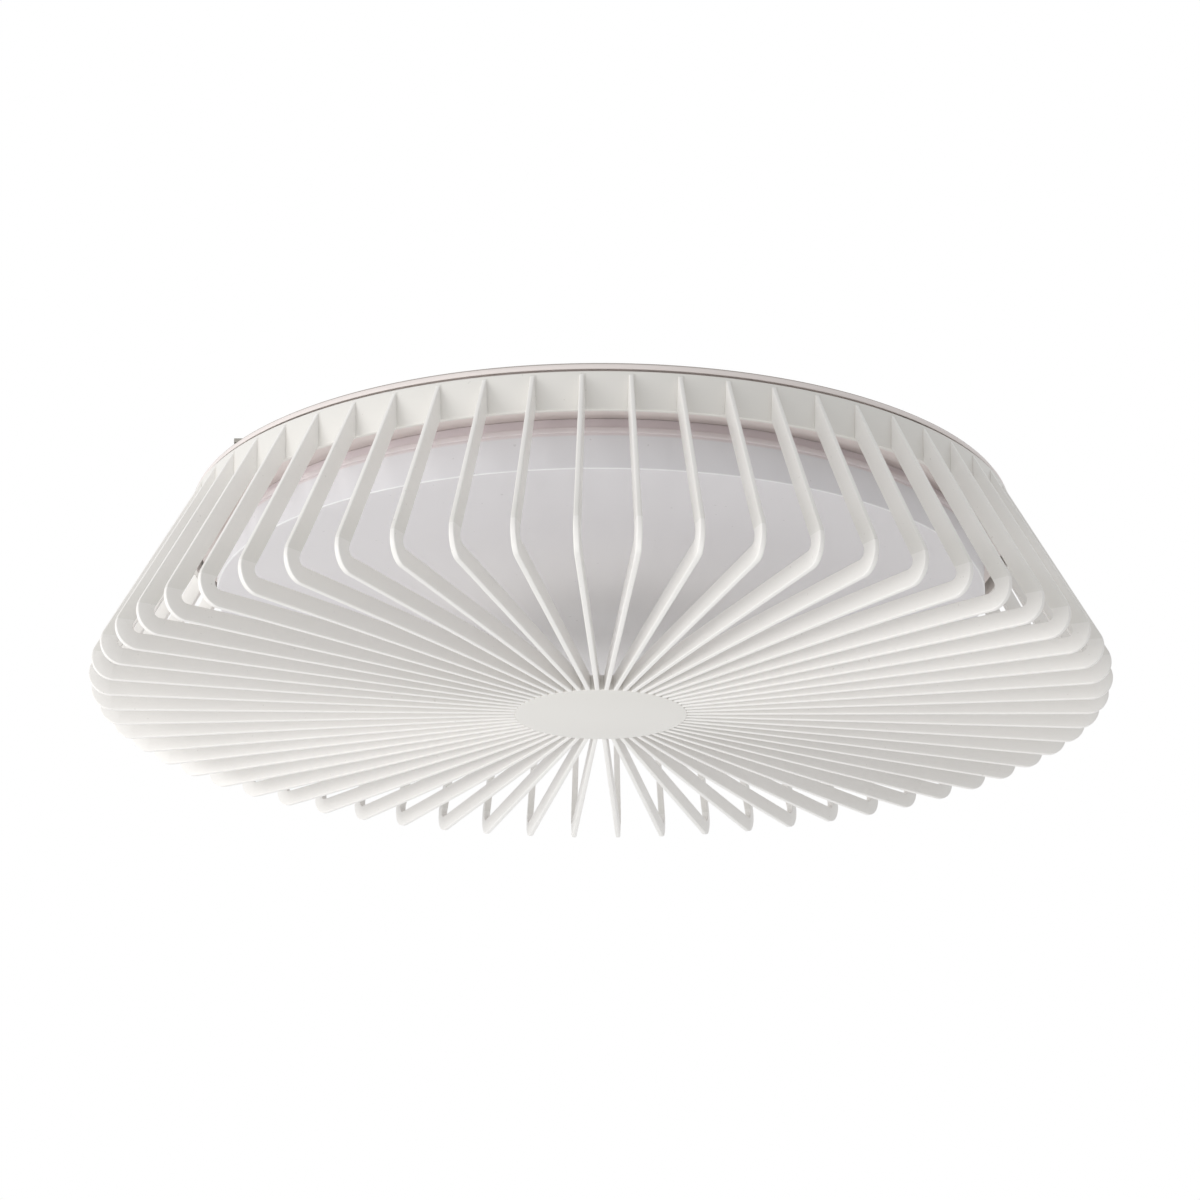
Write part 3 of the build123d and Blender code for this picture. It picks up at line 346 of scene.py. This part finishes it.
slotLooks = {
    "cage_white": cageMaterial(),
    "opal": opalMaterial(),
    "pan_paint": panMaterial(),
    "zinc_steel": plated("zincSteel", (0.36, 0.345, 0.315), 0.42),
    "aluminium_rivet": plated("rivetMetal", (0.62, 0.62, 0.61), 0.42),
    "grommet_rubber": moulded("blackRubber", (0.035, 0.035, 0.038), 0.72, 0.3, 0.15),
    "terminal_plastic": moulded("ivoryPlastic", (0.78, 0.76, 0.68), 0.5, 0.2),
    "clamp_brass": plated("clampBrass", (0.72, 0.55, 0.28), 0.32),
    "driver_plastic": moulded("driverWhite", (0.74, 0.74, 0.72), 0.48, 0.35),
    "circuit_green": moulded("circuitGreen", (0.05, 0.2, 0.09), 0.35, 0.1, 0.12, 60),
    "ferrite": moulded("darkFerrite", (0.06, 0.06, 0.065), 0.6, 0.4, 0.12),
    "winding_copper": plated("copperWire", (0.66, 0.3, 0.14), 0.35),
    "capacitor_can": moulded("capacitorSleeve", (0.07, 0.08, 0.13), 0.25, 0.05),
    "choke_green": moulded("chokeGreen", (0.1, 0.22, 0.13), 0.4, 0.2, 0.1),
    "chip_black": moulded("chipBlack", (0.02, 0.02, 0.022), 0.5, 0.3, 0.1),
    "board_white": moulded("boardWhite", (0.82, 0.82, 0.81), 0.35, 0.06, 0.01),
    "led_yellow": moulded("phosphorYellow", (0.86, 0.66, 0.16), 0.5, 0.1, 0.03),
    "lens_clear": clearPlastic(),
    "connector_white": moulded("connectorWhite", (0.8, 0.79, 0.75), 0.45, 0.2),
    "lead_grey": moulded("leadGrey", (0.33, 0.31, 0.3), 0.42, 0.15, 0.04),
    "lead_green": moulded("leadGreen", (0.12, 0.38, 0.1), 0.42, 0.15, 0.04),
    "lead_white": moulded("leadWhite", (0.72, 0.72, 0.7), 0.42, 0.15, 0.03),
    "clip_white": moulded("clipNylon", (0.74, 0.74, 0.7), 0.5, 0.2),
}
nodeSlots = {row["node"]: row["material_slot"] for row in frame["record"]["subparts"]}
print("materials made")


# a finished mesh becomes a piece that stands for a node, with its node's body and finish
def placePiece(name, bm, node, sharpAngle=32, creases=()):
    for face in bm.faces:
        face.smooth = True
    for edge in bm.edges:
        edge.smooth = edge.calc_face_angle(0) < math.radians(sharpAngle)
    for edge in creases:
        edge.smooth = False
    mesh = bpy.data.meshes.new(name)
    bm.to_mesh(mesh)
    bm.free()
    mesh.materials.clear()
    mesh.materials.append(slotLooks[nodeSlots[node]])
    piece = bpy.data.objects.new(name, mesh)
    bpy.context.scene.collection.objects.link(piece)
    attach(piece, nodes[node]["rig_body"])
    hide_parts(node)
    return piece


# a section in the XZ plane from (radius, level) corners in mm, with some of its corners eased
def makeSection(bm, corners, easing):
    made = [bm.verts.new((radius * mm, 0, level * mm)) for radius, level in corners]
    bm.faces.new(made)
    for index, size in easing.items():
        bmesh.ops.bevel(bm, geom=[made[index]], offset=size * mm, segments=4, profile=0.5,
                        affect="VERTICES", material=-1)


def turnWhole(bm, steps):
    bmesh.ops.delete(bm, geom=bm.faces[:], context="FACES_ONLY")
    axis = [edge for edge in bm.edges if all(v.co.x < 1e-7 for v in edge.verts)]
    bmesh.ops.delete(bm, geom=axis, context="EDGES")
    bmesh.ops.spin(bm, geom=bm.verts[:] + bm.edges[:], cent=(0, 0, 0), axis=(0, 0, 1), angle=2 * math.pi,
                   steps=steps, use_merge=True)
    closeUp(bm)


def closeUp(bm):
    bmesh.ops.remove_doubles(bm, verts=bm.verts, dist=0.000002)
    bmesh.ops.recalc_face_normals(bm, faces=bm.faces)


# tabs of one size round the axis, joined to the mesh of the ring that carries them
def addTabs(bm, corners, halfAngle, firstAzimuth, count, easing, steps=8):
    tab = bmesh.new()
    makeSection(tab, corners, {})
    half = math.radians(halfAngle)
    bmesh.ops.rotate(tab, verts=tab.verts, cent=(0, 0, 0),
                     matrix=Matrix.Rotation(math.radians(firstAzimuth) - half, 3, "Z"))
    bmesh.ops.spin(tab, geom=tab.verts[:] + tab.edges[:] + tab.faces[:], cent=(0, 0, 0), axis=(0, 0, 1),
                   angle=2 * half, steps=steps, use_merge=False)
    closeUp(tab)
    rims = [edge for edge in tab.edges if edge.calc_face_angle(0) > math.radians(60)]
    bmesh.ops.bevel(tab, geom=rims, offset=easing * mm, segments=2, profile=0.5, affect="EDGES", material=-1)
    part = bpy.data.meshes.new("oneTab")
    tab.to_mesh(part)
    tab.free()
    addTurned(bm, part, 0, count)


# turned copies of one mesh round the axis
def addTurned(bm, part, firstAzimuth, count):
    part.transform(Matrix.Rotation(math.radians(firstAzimuth), 4, "Z"))
    for number in range(count):
        bm.from_mesh(part)
        part.transform(Matrix.Rotation(2 * math.pi / count, 4, "Z"))
    bpy.data.meshes.remove(part)


# the ribs: a bar swept down the skirt, round the bend and in to the hub, thicker inside than outside
ribShape = {
    "count": 60,
    "firstAzimuth": 3,           # degrees
    "depth": 9.3,                # mm across the bar
    "bendRadius": 13,
    "bendAxis": (287, -112),     # radius and level of the bend's centre
    "bendSteps": 18,
    "skirtAngle": 27.995,        # degrees from the vertical
    "skirtLength": 125,
    "dishAngle": 0.55,
    "topLevel": -10,
    "partingLevel": -109,
    "ringRadius": 247.5,
    "intoRing": 0.35,
    "hubRadius": 51,
    "intoHub": 1.5,
    "outerHalfWidths": (1.15, 1.36, 1.56, 1.4),    # at the ring, the parting line, the bend's foot and the hub
    "innerHalfWidths": (1.9, 2.1, 1.86, 1.45),
    "outerEasing": 0.6,
    "innerEasing": 0.4,
    "rootFlare": ((0.0, 0.35), (0.4, 0.14), (0.9, 0.04)),   # distance from the ring and added half width
    "flareEnd": 4,
}


def halfWidth(across, level, widths):
    ring, parting, foot, hub = widths
    partingLevel, bendAcross = ribShape["partingLevel"], ribShape["bendAxis"][0]
    if level >= partingLevel:
        return parting + (ring - parting) * (level - partingLevel) / (ribShape["topLevel"] - partingLevel)
    if across > bendAcross:
        lowest = ribShape["bendAxis"][1] - ribShape["bendRadius"]
        return parting + (foot - parting) * (partingLevel - level) / (partingLevel - lowest)
    return foot + (hub - foot) * (bendAcross - across) / (bendAcross - ribShape["hubRadius"])


def vertsOf(geom):
    return [item for item in geom if isinstance(item, bmesh.types.BMVert)]


def facesOf(geom):
    return [item for item in geom if isinstance(item, bmesh.types.BMFace)]


def cutLoop(bm, faces, place, normal):
    edges = {edge for face in faces for edge in face.edges}
    verts = {vert for face in faces for vert in face.verts}
    bmesh.ops.bisect_plane(bm, geom=faces + list(edges) + list(verts), plane_co=place, plane_no=normal)


def makeOneRib(bm):
    shape = ribShape
    bendAcross, bendLevel = (value * mm for value in shape["bendAxis"])
    skirt, dish = math.radians(shape["skirtAngle"]), math.radians(shape["dishAngle"])
    outward = bm.verts.layers.float.new("outward")
    bmesh.ops.create_grid(bm, x_segments=1, y_segments=1, size=0.5)
    bmesh.ops.scale(bm, verts=bm.verts, vec=(shape["depth"] * mm, mm, 1))
    bmesh.ops.translate(bm, verts=bm.verts, vec=((shape["bendRadius"] - shape["depth"] / 2) * mm, 0, 0))
    for vert in bm.verts:
        vert[outward] = float(vert.co.x > shape["depth"] * mm)
    bmesh.ops.rotate(bm, verts=bm.verts, cent=(0, 0, 0), matrix=Matrix.Rotation(-skirt, 3, "Y"))
    bmesh.ops.translate(bm, verts=bm.verts, vec=(bendAcross, 0, bendLevel))
    section = bm.faces[:]
    # up the skirt, past the ring's face, then cut to it and closed
    upper = bmesh.ops.extrude_face_region(bm, geom=section)["geom"]
    length = shape["skirtLength"] * mm
    bmesh.ops.translate(bm, verts=vertsOf(upper), vec=(-length * math.sin(skirt), 0, length * math.cos(skirt)))
    ringCut = (shape["ringRadius"] - shape["intoRing"]) * mm
    cut = bmesh.ops.bisect_plane(bm, geom=bm.verts[:] + bm.edges[:] + bm.faces[:], plane_co=(ringCut, 0, 0),
                                 plane_no=(-1, 0, 0), clear_outer=True)["geom_cut"]
    bmesh.ops.contextual_create(bm, geom=[item for item in cut if isinstance(item, bmesh.types.BMEdge)])
    # round the bend, then in to the hub
    bend = bmesh.ops.spin(bm, geom=section, cent=(bendAcross, 0, bendLevel), axis=(0, 1, 0),
                          angle=math.pi / 2 + skirt + dish, steps=shape["bendSteps"], use_merge=False)
    foot = facesOf(bend["geom_last"])
    arm = bmesh.ops.extrude_face_region(bm, geom=foot)["geom"]
    reach = bendAcross - (shape["hubRadius"] - shape["intoHub"]) * mm
    bmesh.ops.translate(bm, verts=vertsOf(arm), vec=(-reach, 0, reach * math.tan(dish)))
    bmesh.ops.delete(bm, geom=section + foot, context="FACES_ONLY")
    cutLoop(bm, bm.faces[:], (0, 0, shape["partingLevel"] * mm), (0, 0, 1))
    for gap in [row[0] for row in shape["rootFlare"]] + [shape["flareEnd"]]:
        skirtFaces = [face for face in bm.faces if face.calc_center_median().z > -0.1]
        cutLoop(bm, skirtFaces, ((shape["ringRadius"] + gap) * mm, 0, 0), (1, 0, 0))
    closeUp(bm)
    for vert in bm.verts:
        across, level, share = vert.co.x / mm, vert.co.z / mm, vert[outward]
        half = (halfWidth(across, level, shape["outerHalfWidths"]) * share
                + halfWidth(across, level, shape["innerHalfWidths"]) * (1 - share))
        if level > -100:
            half += next((extra for gap, extra in shape["rootFlare"] if across < shape["ringRadius"] + gap + 0.01), 0)
        vert.co.y = math.copysign(half * mm, vert.co.y)
    for wanted, size in ((1, shape["outerEasing"]), (0, shape["innerEasing"])):
        along = [edge for edge in bm.edges if all(abs(v[outward] - wanted) < 0.001 for v in edge.verts)
                 and edge.verts[0].co.y * edge.verts[1].co.y > 0]
        bmesh.ops.bevel(bm, geom=along, offset=size * mm, segments=3, profile=0.5, affect="EDGES", material=-1)
    bm.verts.layers.float.remove(bm.verts.layers.float["outward"])
    bmesh.ops.recalc_face_normals(bm, faces=bm.faces)


def makeRibs():
    bm = bmesh.new()
    makeOneRib(bm)
    print("one rib has", len(bm.faces), "faces, open edges:", sum(not e.is_manifold for e in bm.edges))
    single = bpy.data.meshes.new("oneRib")
    bm.to_mesh(single)
    bm.clear()
    addTurned(bm, single, ribShape["firstAzimuth"], ribShape["count"])
    parting = ribShape["partingLevel"] * mm
    creases = [edge for edge in bm.edges if all(abs(v.co.z - parting) < 0.00002 for v in edge.verts)]
    placePiece("cageRibs", bm, "cage_ribs", creases=creases)


# the ring: rounded under its outer edge, with four tabs inside that sit on the pan's lugs
ringShape = {
    "outer": 247.5, "bore": 244.5, "top": -8.5, "bottom": -30.4,
    "easing": {0: 0.6, 1: 0.8, 2: 0.8, 3: 0.6},      # outer top, outer bottom, inner bottom, inner top
    "tabBore": 242.1, "tabTop": -19.5, "tabBottom": -22.5, "tabHalfAngle": 3, "tabEasing": 0.4,
    "tabCount": 4, "tabAzimuth": 45, "tabRoot": 246,
}


def makeRing():
    shape = ringShape
    bm = bmesh.new()
    makeSection(bm, ((shape["outer"], shape["top"]), (shape["outer"], shape["bottom"]),
                     (shape["bore"], shape["bottom"]), (shape["bore"], shape["top"])), shape["easing"])
    turnWhole(bm, 240)
    addTabs(bm, ((shape["tabRoot"], shape["tabTop"]), (shape["tabRoot"], shape["tabBottom"]),
                 (shape["tabBore"], shape["tabBottom"]), (shape["tabBore"], shape["tabTop"])),
            shape["tabHalfAngle"], shape["tabAzimuth"], shape["tabCount"], shape["tabEasing"])
    print("ring has", len(bm.faces), "faces, open edges:", sum(not e.is_manifold for e in bm.edges))
    placePiece("cageRing", bm, "cage_ring")


# the hub: a shallow cup, open upwards
hubShape = {
    "radius": 51, "bottom": -122.735, "top": -113.435, "plate": 3, "wall": 3,
    "easing": {1: 0.45, 2: 0.5, 3: 0.5, 4: 1.2},     # outer bottom, outer top, inner top, inner floor
}


def makeHub():
    shape = hubShape
    inner, floor = shape["radius"] - shape["wall"], shape["bottom"] + shape["plate"]
    bm = bmesh.new()
    makeSection(bm, ((0, shape["bottom"]), (shape["radius"], shape["bottom"]), (shape["radius"], shape["top"]),
                     (inner, shape["top"]), (inner, floor), (0, floor)), shape["easing"])
    turnWhole(bm, 120)
    print("hub has", len(bm.faces), "faces, open edges:", sum(not e.is_manifold for e in bm.edges))
    placePiece("cageHub", bm, "cage_hub")


makeRibs()
makeRing()
makeHub()
print("cage made")

# the diffuser: neck, lip, drum and a shallow dome, one thin moulding with four tabs in its neck
diffuserShape = {
    "neck": 225, "neckTop": -26.15, "lip": 230.5, "lipTop": -33, "lipBottom": -36.2, "drum": 229,
    "drumFoot": -56, "domeDrop": 7, "wall": 2, "domeCuts": 20,
    "shoulder": 0.5, "lipEasing": 0.7, "footEasing": 0.4, "innerEasing": 1.0,
    "tabBore": 215, "tabTop": -28.5, "tabBottom": -30.5, "tabHalfAngle": 4, "tabEasing": 0.3, "tabCount": 4,
}


def makeDiffuser():
    shape = diffuserShape
    wall, foot = shape["wall"], shape["drumFoot"]
    innerNeck, innerDrum = shape["neck"] - wall, shape["drum"] - wall
    bm = bmesh.new()
    makeSection(bm, ((0, foot), (shape["drum"], foot), (shape["drum"], shape["lipBottom"]),
                     (shape["lip"], shape["lipBottom"]), (shape["lip"], shape["lipTop"]),
                     (shape["neck"], shape["lipTop"]), (shape["neck"], shape["neckTop"]),
                     (innerNeck, shape["neckTop"]), (innerNeck, shape["lipTop"] - wall),
                     (innerDrum, shape["lipTop"] - wall), (innerDrum, foot + wall), (0, foot + wall)),
                {1: shape["shoulder"], 3: shape["lipEasing"], 4: shape["lipEasing"], 6: shape["footEasing"],
                 7: shape["footEasing"], 10: shape["innerEasing"]})
    bmesh.ops.delete(bm, geom=bm.faces[:], context="FACES_ONLY")
    floors = [edge for edge in bm.edges if edge.calc_length() > 0.2]
    bmesh.ops.subdivide_edges(bm, edges=floors, cuts=shape["domeCuts"])
    edgeReach = (shape["drum"] - shape["shoulder"]) * mm
    for vert in bm.verts:
        if vert.co.z < (foot + wall + 0.1) * mm and vert.co.x < edgeReach:
            vert.co.z -= shape["domeDrop"] * mm * (1 - (vert.co.x / edgeReach) ** 2)
    turnWhole(bm, 240)
    addTabs(bm, ((shape["neck"] - 1, shape["tabTop"]), (shape["neck"] - 1, shape["tabBottom"]),
                 (shape["tabBore"], shape["tabBottom"]), (shape["tabBore"], shape["tabTop"])),
            shape["tabHalfAngle"], 0, shape["tabCount"], shape["tabEasing"])
    print("diffuser has", len(bm.faces), "faces, open edges:", sum(not e.is_manifold for e in bm.edges))
    placePiece("diffuserShell", bm, "diffuser", sharpAngle=40)


# the pan: one turned sheet with its rim rolled over, then its holes are punched
panShape = {
    "plateBottom": -26, "sheet": 1, "wall": 240.5, "rim": 246, "top": -2.5, "rimHeight": 4.2,
    "rimRounding": 2.8, "footEasing": 0.5, "lipEasing": 0.25,
    "studs": (55, 118.5), "studHole": 2.3, "inlet": 128, "inletHole": 8.05,
    "rivetReach": 202.5, "rivetHole": 1.65, "screwReach": 185.5, "screwTurn": 33, "screwHole": 1.55,
    "driverScrews": 70, "terminalScrews": (100, 20), "earthScrew": (80, 36), "earthHole": 2.05,
    "lugAzimuth": 45, "lugRivetLevel": -15.15,
}


def punch(tool, radius, reach, azimuth, level, sideways=False):
    made = bmesh.ops.create_cone(tool, cap_ends=True, segments=32, radius1=radius * mm, radius2=radius * mm,
                                 depth=4 * mm)["verts"]
    if sideways:
        bmesh.ops.rotate(tool, verts=made, cent=(0, 0, 0), matrix=Matrix.Rotation(math.pi / 2, 3, "Y"))
    bmesh.ops.translate(tool, verts=made, vec=(reach * mm, 0, level * mm))
    bmesh.ops.rotate(tool, verts=made, cent=(0, 0, 0), matrix=Matrix.Rotation(azimuth, 3, "Z"))


def punchAt(tool, radius, x, y, level):
    punch(tool, radius, math.hypot(x, y), math.atan2(y, x), level)


def makePan():
    shape = panShape
    sheet, bottom, top = shape["sheet"], shape["plateBottom"], shape["top"]
    wall, rim, edge = shape["wall"], shape["rim"], shape["top"] - shape["rimHeight"]
    bm = bmesh.new()
    makeSection(bm, ((0, bottom), (wall, bottom), (wall, top - sheet), (rim - sheet, top - sheet),
                     (rim - sheet, edge), (rim, edge), (rim, top), (wall - sheet, top),
                     (wall - sheet, bottom + sheet), (0, bottom + sheet)),
                {1: shape["footEasing"], 3: shape["rimRounding"] - sheet, 4: shape["lipEasing"],
                 5: shape["lipEasing"], 6: shape["rimRounding"], 7: shape["footEasing"]})
    turnWhole(bm, 240)
    tool = bmesh.new()
    middle = bottom + sheet / 2
    for side in (-1, 1):
        punchAt(tool, shape["studHole"], side * shape["studs"][0], shape["studs"][1], middle)
        punchAt(tool, shape["studHole"], side * shape["studs"][0], -shape["studs"][1], middle)
        punchAt(tool, shape["screwHole"], side * shape["driverScrews"], 0, middle)
        punchAt(tool, shape["screwHole"], shape["terminalScrews"][0], side * shape["terminalScrews"][1], middle)
    punchAt(tool, shape["inletHole"], shape["inlet"], 0, middle)
    punchAt(tool, shape["earthHole"], *shape["earthScrew"], middle)
    for quarter in range(4):
        azimuth = quarter * math.pi / 2
        lug = azimuth + math.radians(shape["lugAzimuth"])
        punch(tool, shape["rivetHole"], shape["rivetReach"], azimuth, middle)
        punch(tool, shape["rivetHole"], wall - sheet / 2, lug, shape["lugRivetLevel"], sideways=True)
        for offset in (-1, 0, 1):
            punch(tool, shape["screwHole"], shape["screwReach"],
                  lug + offset * math.radians(shape["screwTurn"]), middle)
    meshes = [bpy.data.meshes.new(name) for name in ("panBlank", "panPunch")]
    things = [bpy.data.objects.new(mesh.name, mesh) for mesh in meshes]
    for source, mesh, thing in zip((bm, tool), meshes, things):
        source.to_mesh(mesh)
        bpy.context.scene.collection.objects.link(thing)
    tool.free()
    holes = things[0].modifiers.new("punchedHoles", "BOOLEAN")
    holes.object, holes.operation, holes.solver = things[1], "DIFFERENCE", "EXACT"
    punched = bpy.data.meshes.new_from_object(things[0].evaluated_get(bpy.context.evaluated_depsgraph_get()))
    bm.clear()
    bm.from_mesh(punched)
    for thing, mesh in zip(things, meshes):
        bpy.data.objects.remove(thing)
        bpy.data.meshes.remove(mesh)
    bpy.data.meshes.remove(punched)
    print("pan has", len(bm.faces), "faces, open edges:", sum(not e.is_manifold for e in bm.edges))
    placePiece("basePan", bm, "base_pan")


makeDiffuser()
makePan()
print("diffuser and pan made")


# a node's own shape with its doubles merged, its curves shaded smooth and its edges eased
def dressNode(node, easing=0.15):
    bm = bmesh.new()
    bm.from_mesh(nodes[node].data)
    bmesh.ops.remove_doubles(bm, verts=bm.verts, dist=0.000002)
    bmesh.ops.dissolve_limit(bm, angle_limit=math.radians(0.05), verts=bm.verts, edges=bm.edges)
    piece = placePiece(node + "_finished", bm, node)
    if easing:
        bevel = piece.modifiers.new("easedEdges", "BEVEL")
        bevel.width = easing * mm
        bevel.segments = 2
        bevel.limit_method = "ANGLE"
        bevel.angle_limit = math.radians(40)
        bevel.harden_normals = True


modelledNodes = ("cage_ribs", "cage_ring", "cage_hub", "diffuser", "base_pan")
plainNodes = ("led_chips", "led_lenses", "board_links")
for node in nodes:
    if node not in modelledNodes:
        dressNode(node, 0 if node in plainNodes else 0.15)
print("other nodes dressed")


# studio: pale floor one room's height below, soft light from the left, the low left, the front left and from below
studio = {
    "floorDrop": 2.5,
    "floorSize": 12,
    "skyLevel": 0.61,
    "skyColour": (0.985, 0.993, 1.0),
    "lamps": {       # place in metres, size in metres, watts
        "leftLamp": ((-2.6, -1.3, -0.55), 1.6, 31),
        "leftLowLamp": ((-2.0, -1.2, -2.0), 1.6, 6),
        "belowLamp": ((0, 0, -2.3), 2.0, 14.5),
        "frontLeftLamp": ((-1.6, -2.6, -0.8), 1.4, 9.3),
    },
}


def addFloor():
    bm = bmesh.new()
    bmesh.ops.create_grid(bm, x_segments=1, y_segments=1, size=studio["floorSize"] / 2)
    bmesh.ops.translate(bm, verts=bm.verts, vec=(0, 0, -studio["floorDrop"]))
    mesh = bpy.data.meshes.new("paleFloor")
    bm.to_mesh(mesh)
    bm.free()
    floor = bpy.data.objects.new("paleFloor", mesh)
    bpy.context.scene.collection.objects.link(floor)
    mesh.materials.append(newMaterial("floorPaint", (0.8, 0.8, 0.8), 0.9, specular=0.1)[0])


def addWorld():
    world = bpy.data.worlds.new("studioWorld")
    world.use_nodes = True
    bpy.context.scene.world = world
    tree = world.node_tree
    tree.nodes.clear()
    out = tree.nodes.new("ShaderNodeOutputWorld")
    sky = tree.nodes.new("ShaderNodeBackground")
    sky.inputs["Color"].default_value = (*studio["skyColour"], 1)
    sky.inputs["Strength"].default_value = studio["skyLevel"]
    seen = tree.nodes.new("ShaderNodeBackground")
    seen.inputs["Color"].default_value = (1, 1, 1, 1)
    seen.inputs["Strength"].default_value = 1
    path = tree.nodes.new("ShaderNodeLightPath")
    shown = combine(tree, "MAXIMUM", path.outputs["Is Camera Ray"], path.outputs["Is Glossy Ray"])
    shown = combine(tree, "MAXIMUM", shown, path.outputs["Is Transmission Ray"])
    mix = tree.nodes.new("ShaderNodeMixShader")
    tree.links.new(shown, mix.inputs["Fac"])
    tree.links.new(sky.outputs[0], mix.inputs[1])
    tree.links.new(seen.outputs[0], mix.inputs[2])
    tree.links.new(mix.outputs[0], out.inputs["Surface"])


def addLamp(name, place, size, power):
    data = bpy.data.lights.new(name, "AREA")
    data.shape = "SQUARE"
    data.size = size
    data.energy = power
    lamp = bpy.data.objects.new(name, data)
    bpy.context.scene.collection.objects.link(lamp)
    lamp.location = place
    aim = Vector((0, 0, -0.07)) - Vector(place)
    lamp.rotation_mode = "QUATERNION"
    lamp.rotation_quaternion = aim.to_track_quat("-Z", "Y")


addFloor()
addWorld()
for name, lamp in studio["lamps"].items():
    addLamp(name, *lamp)
bpy.context.scene.view_settings.view_transform = "Standard"
print("studio lit")
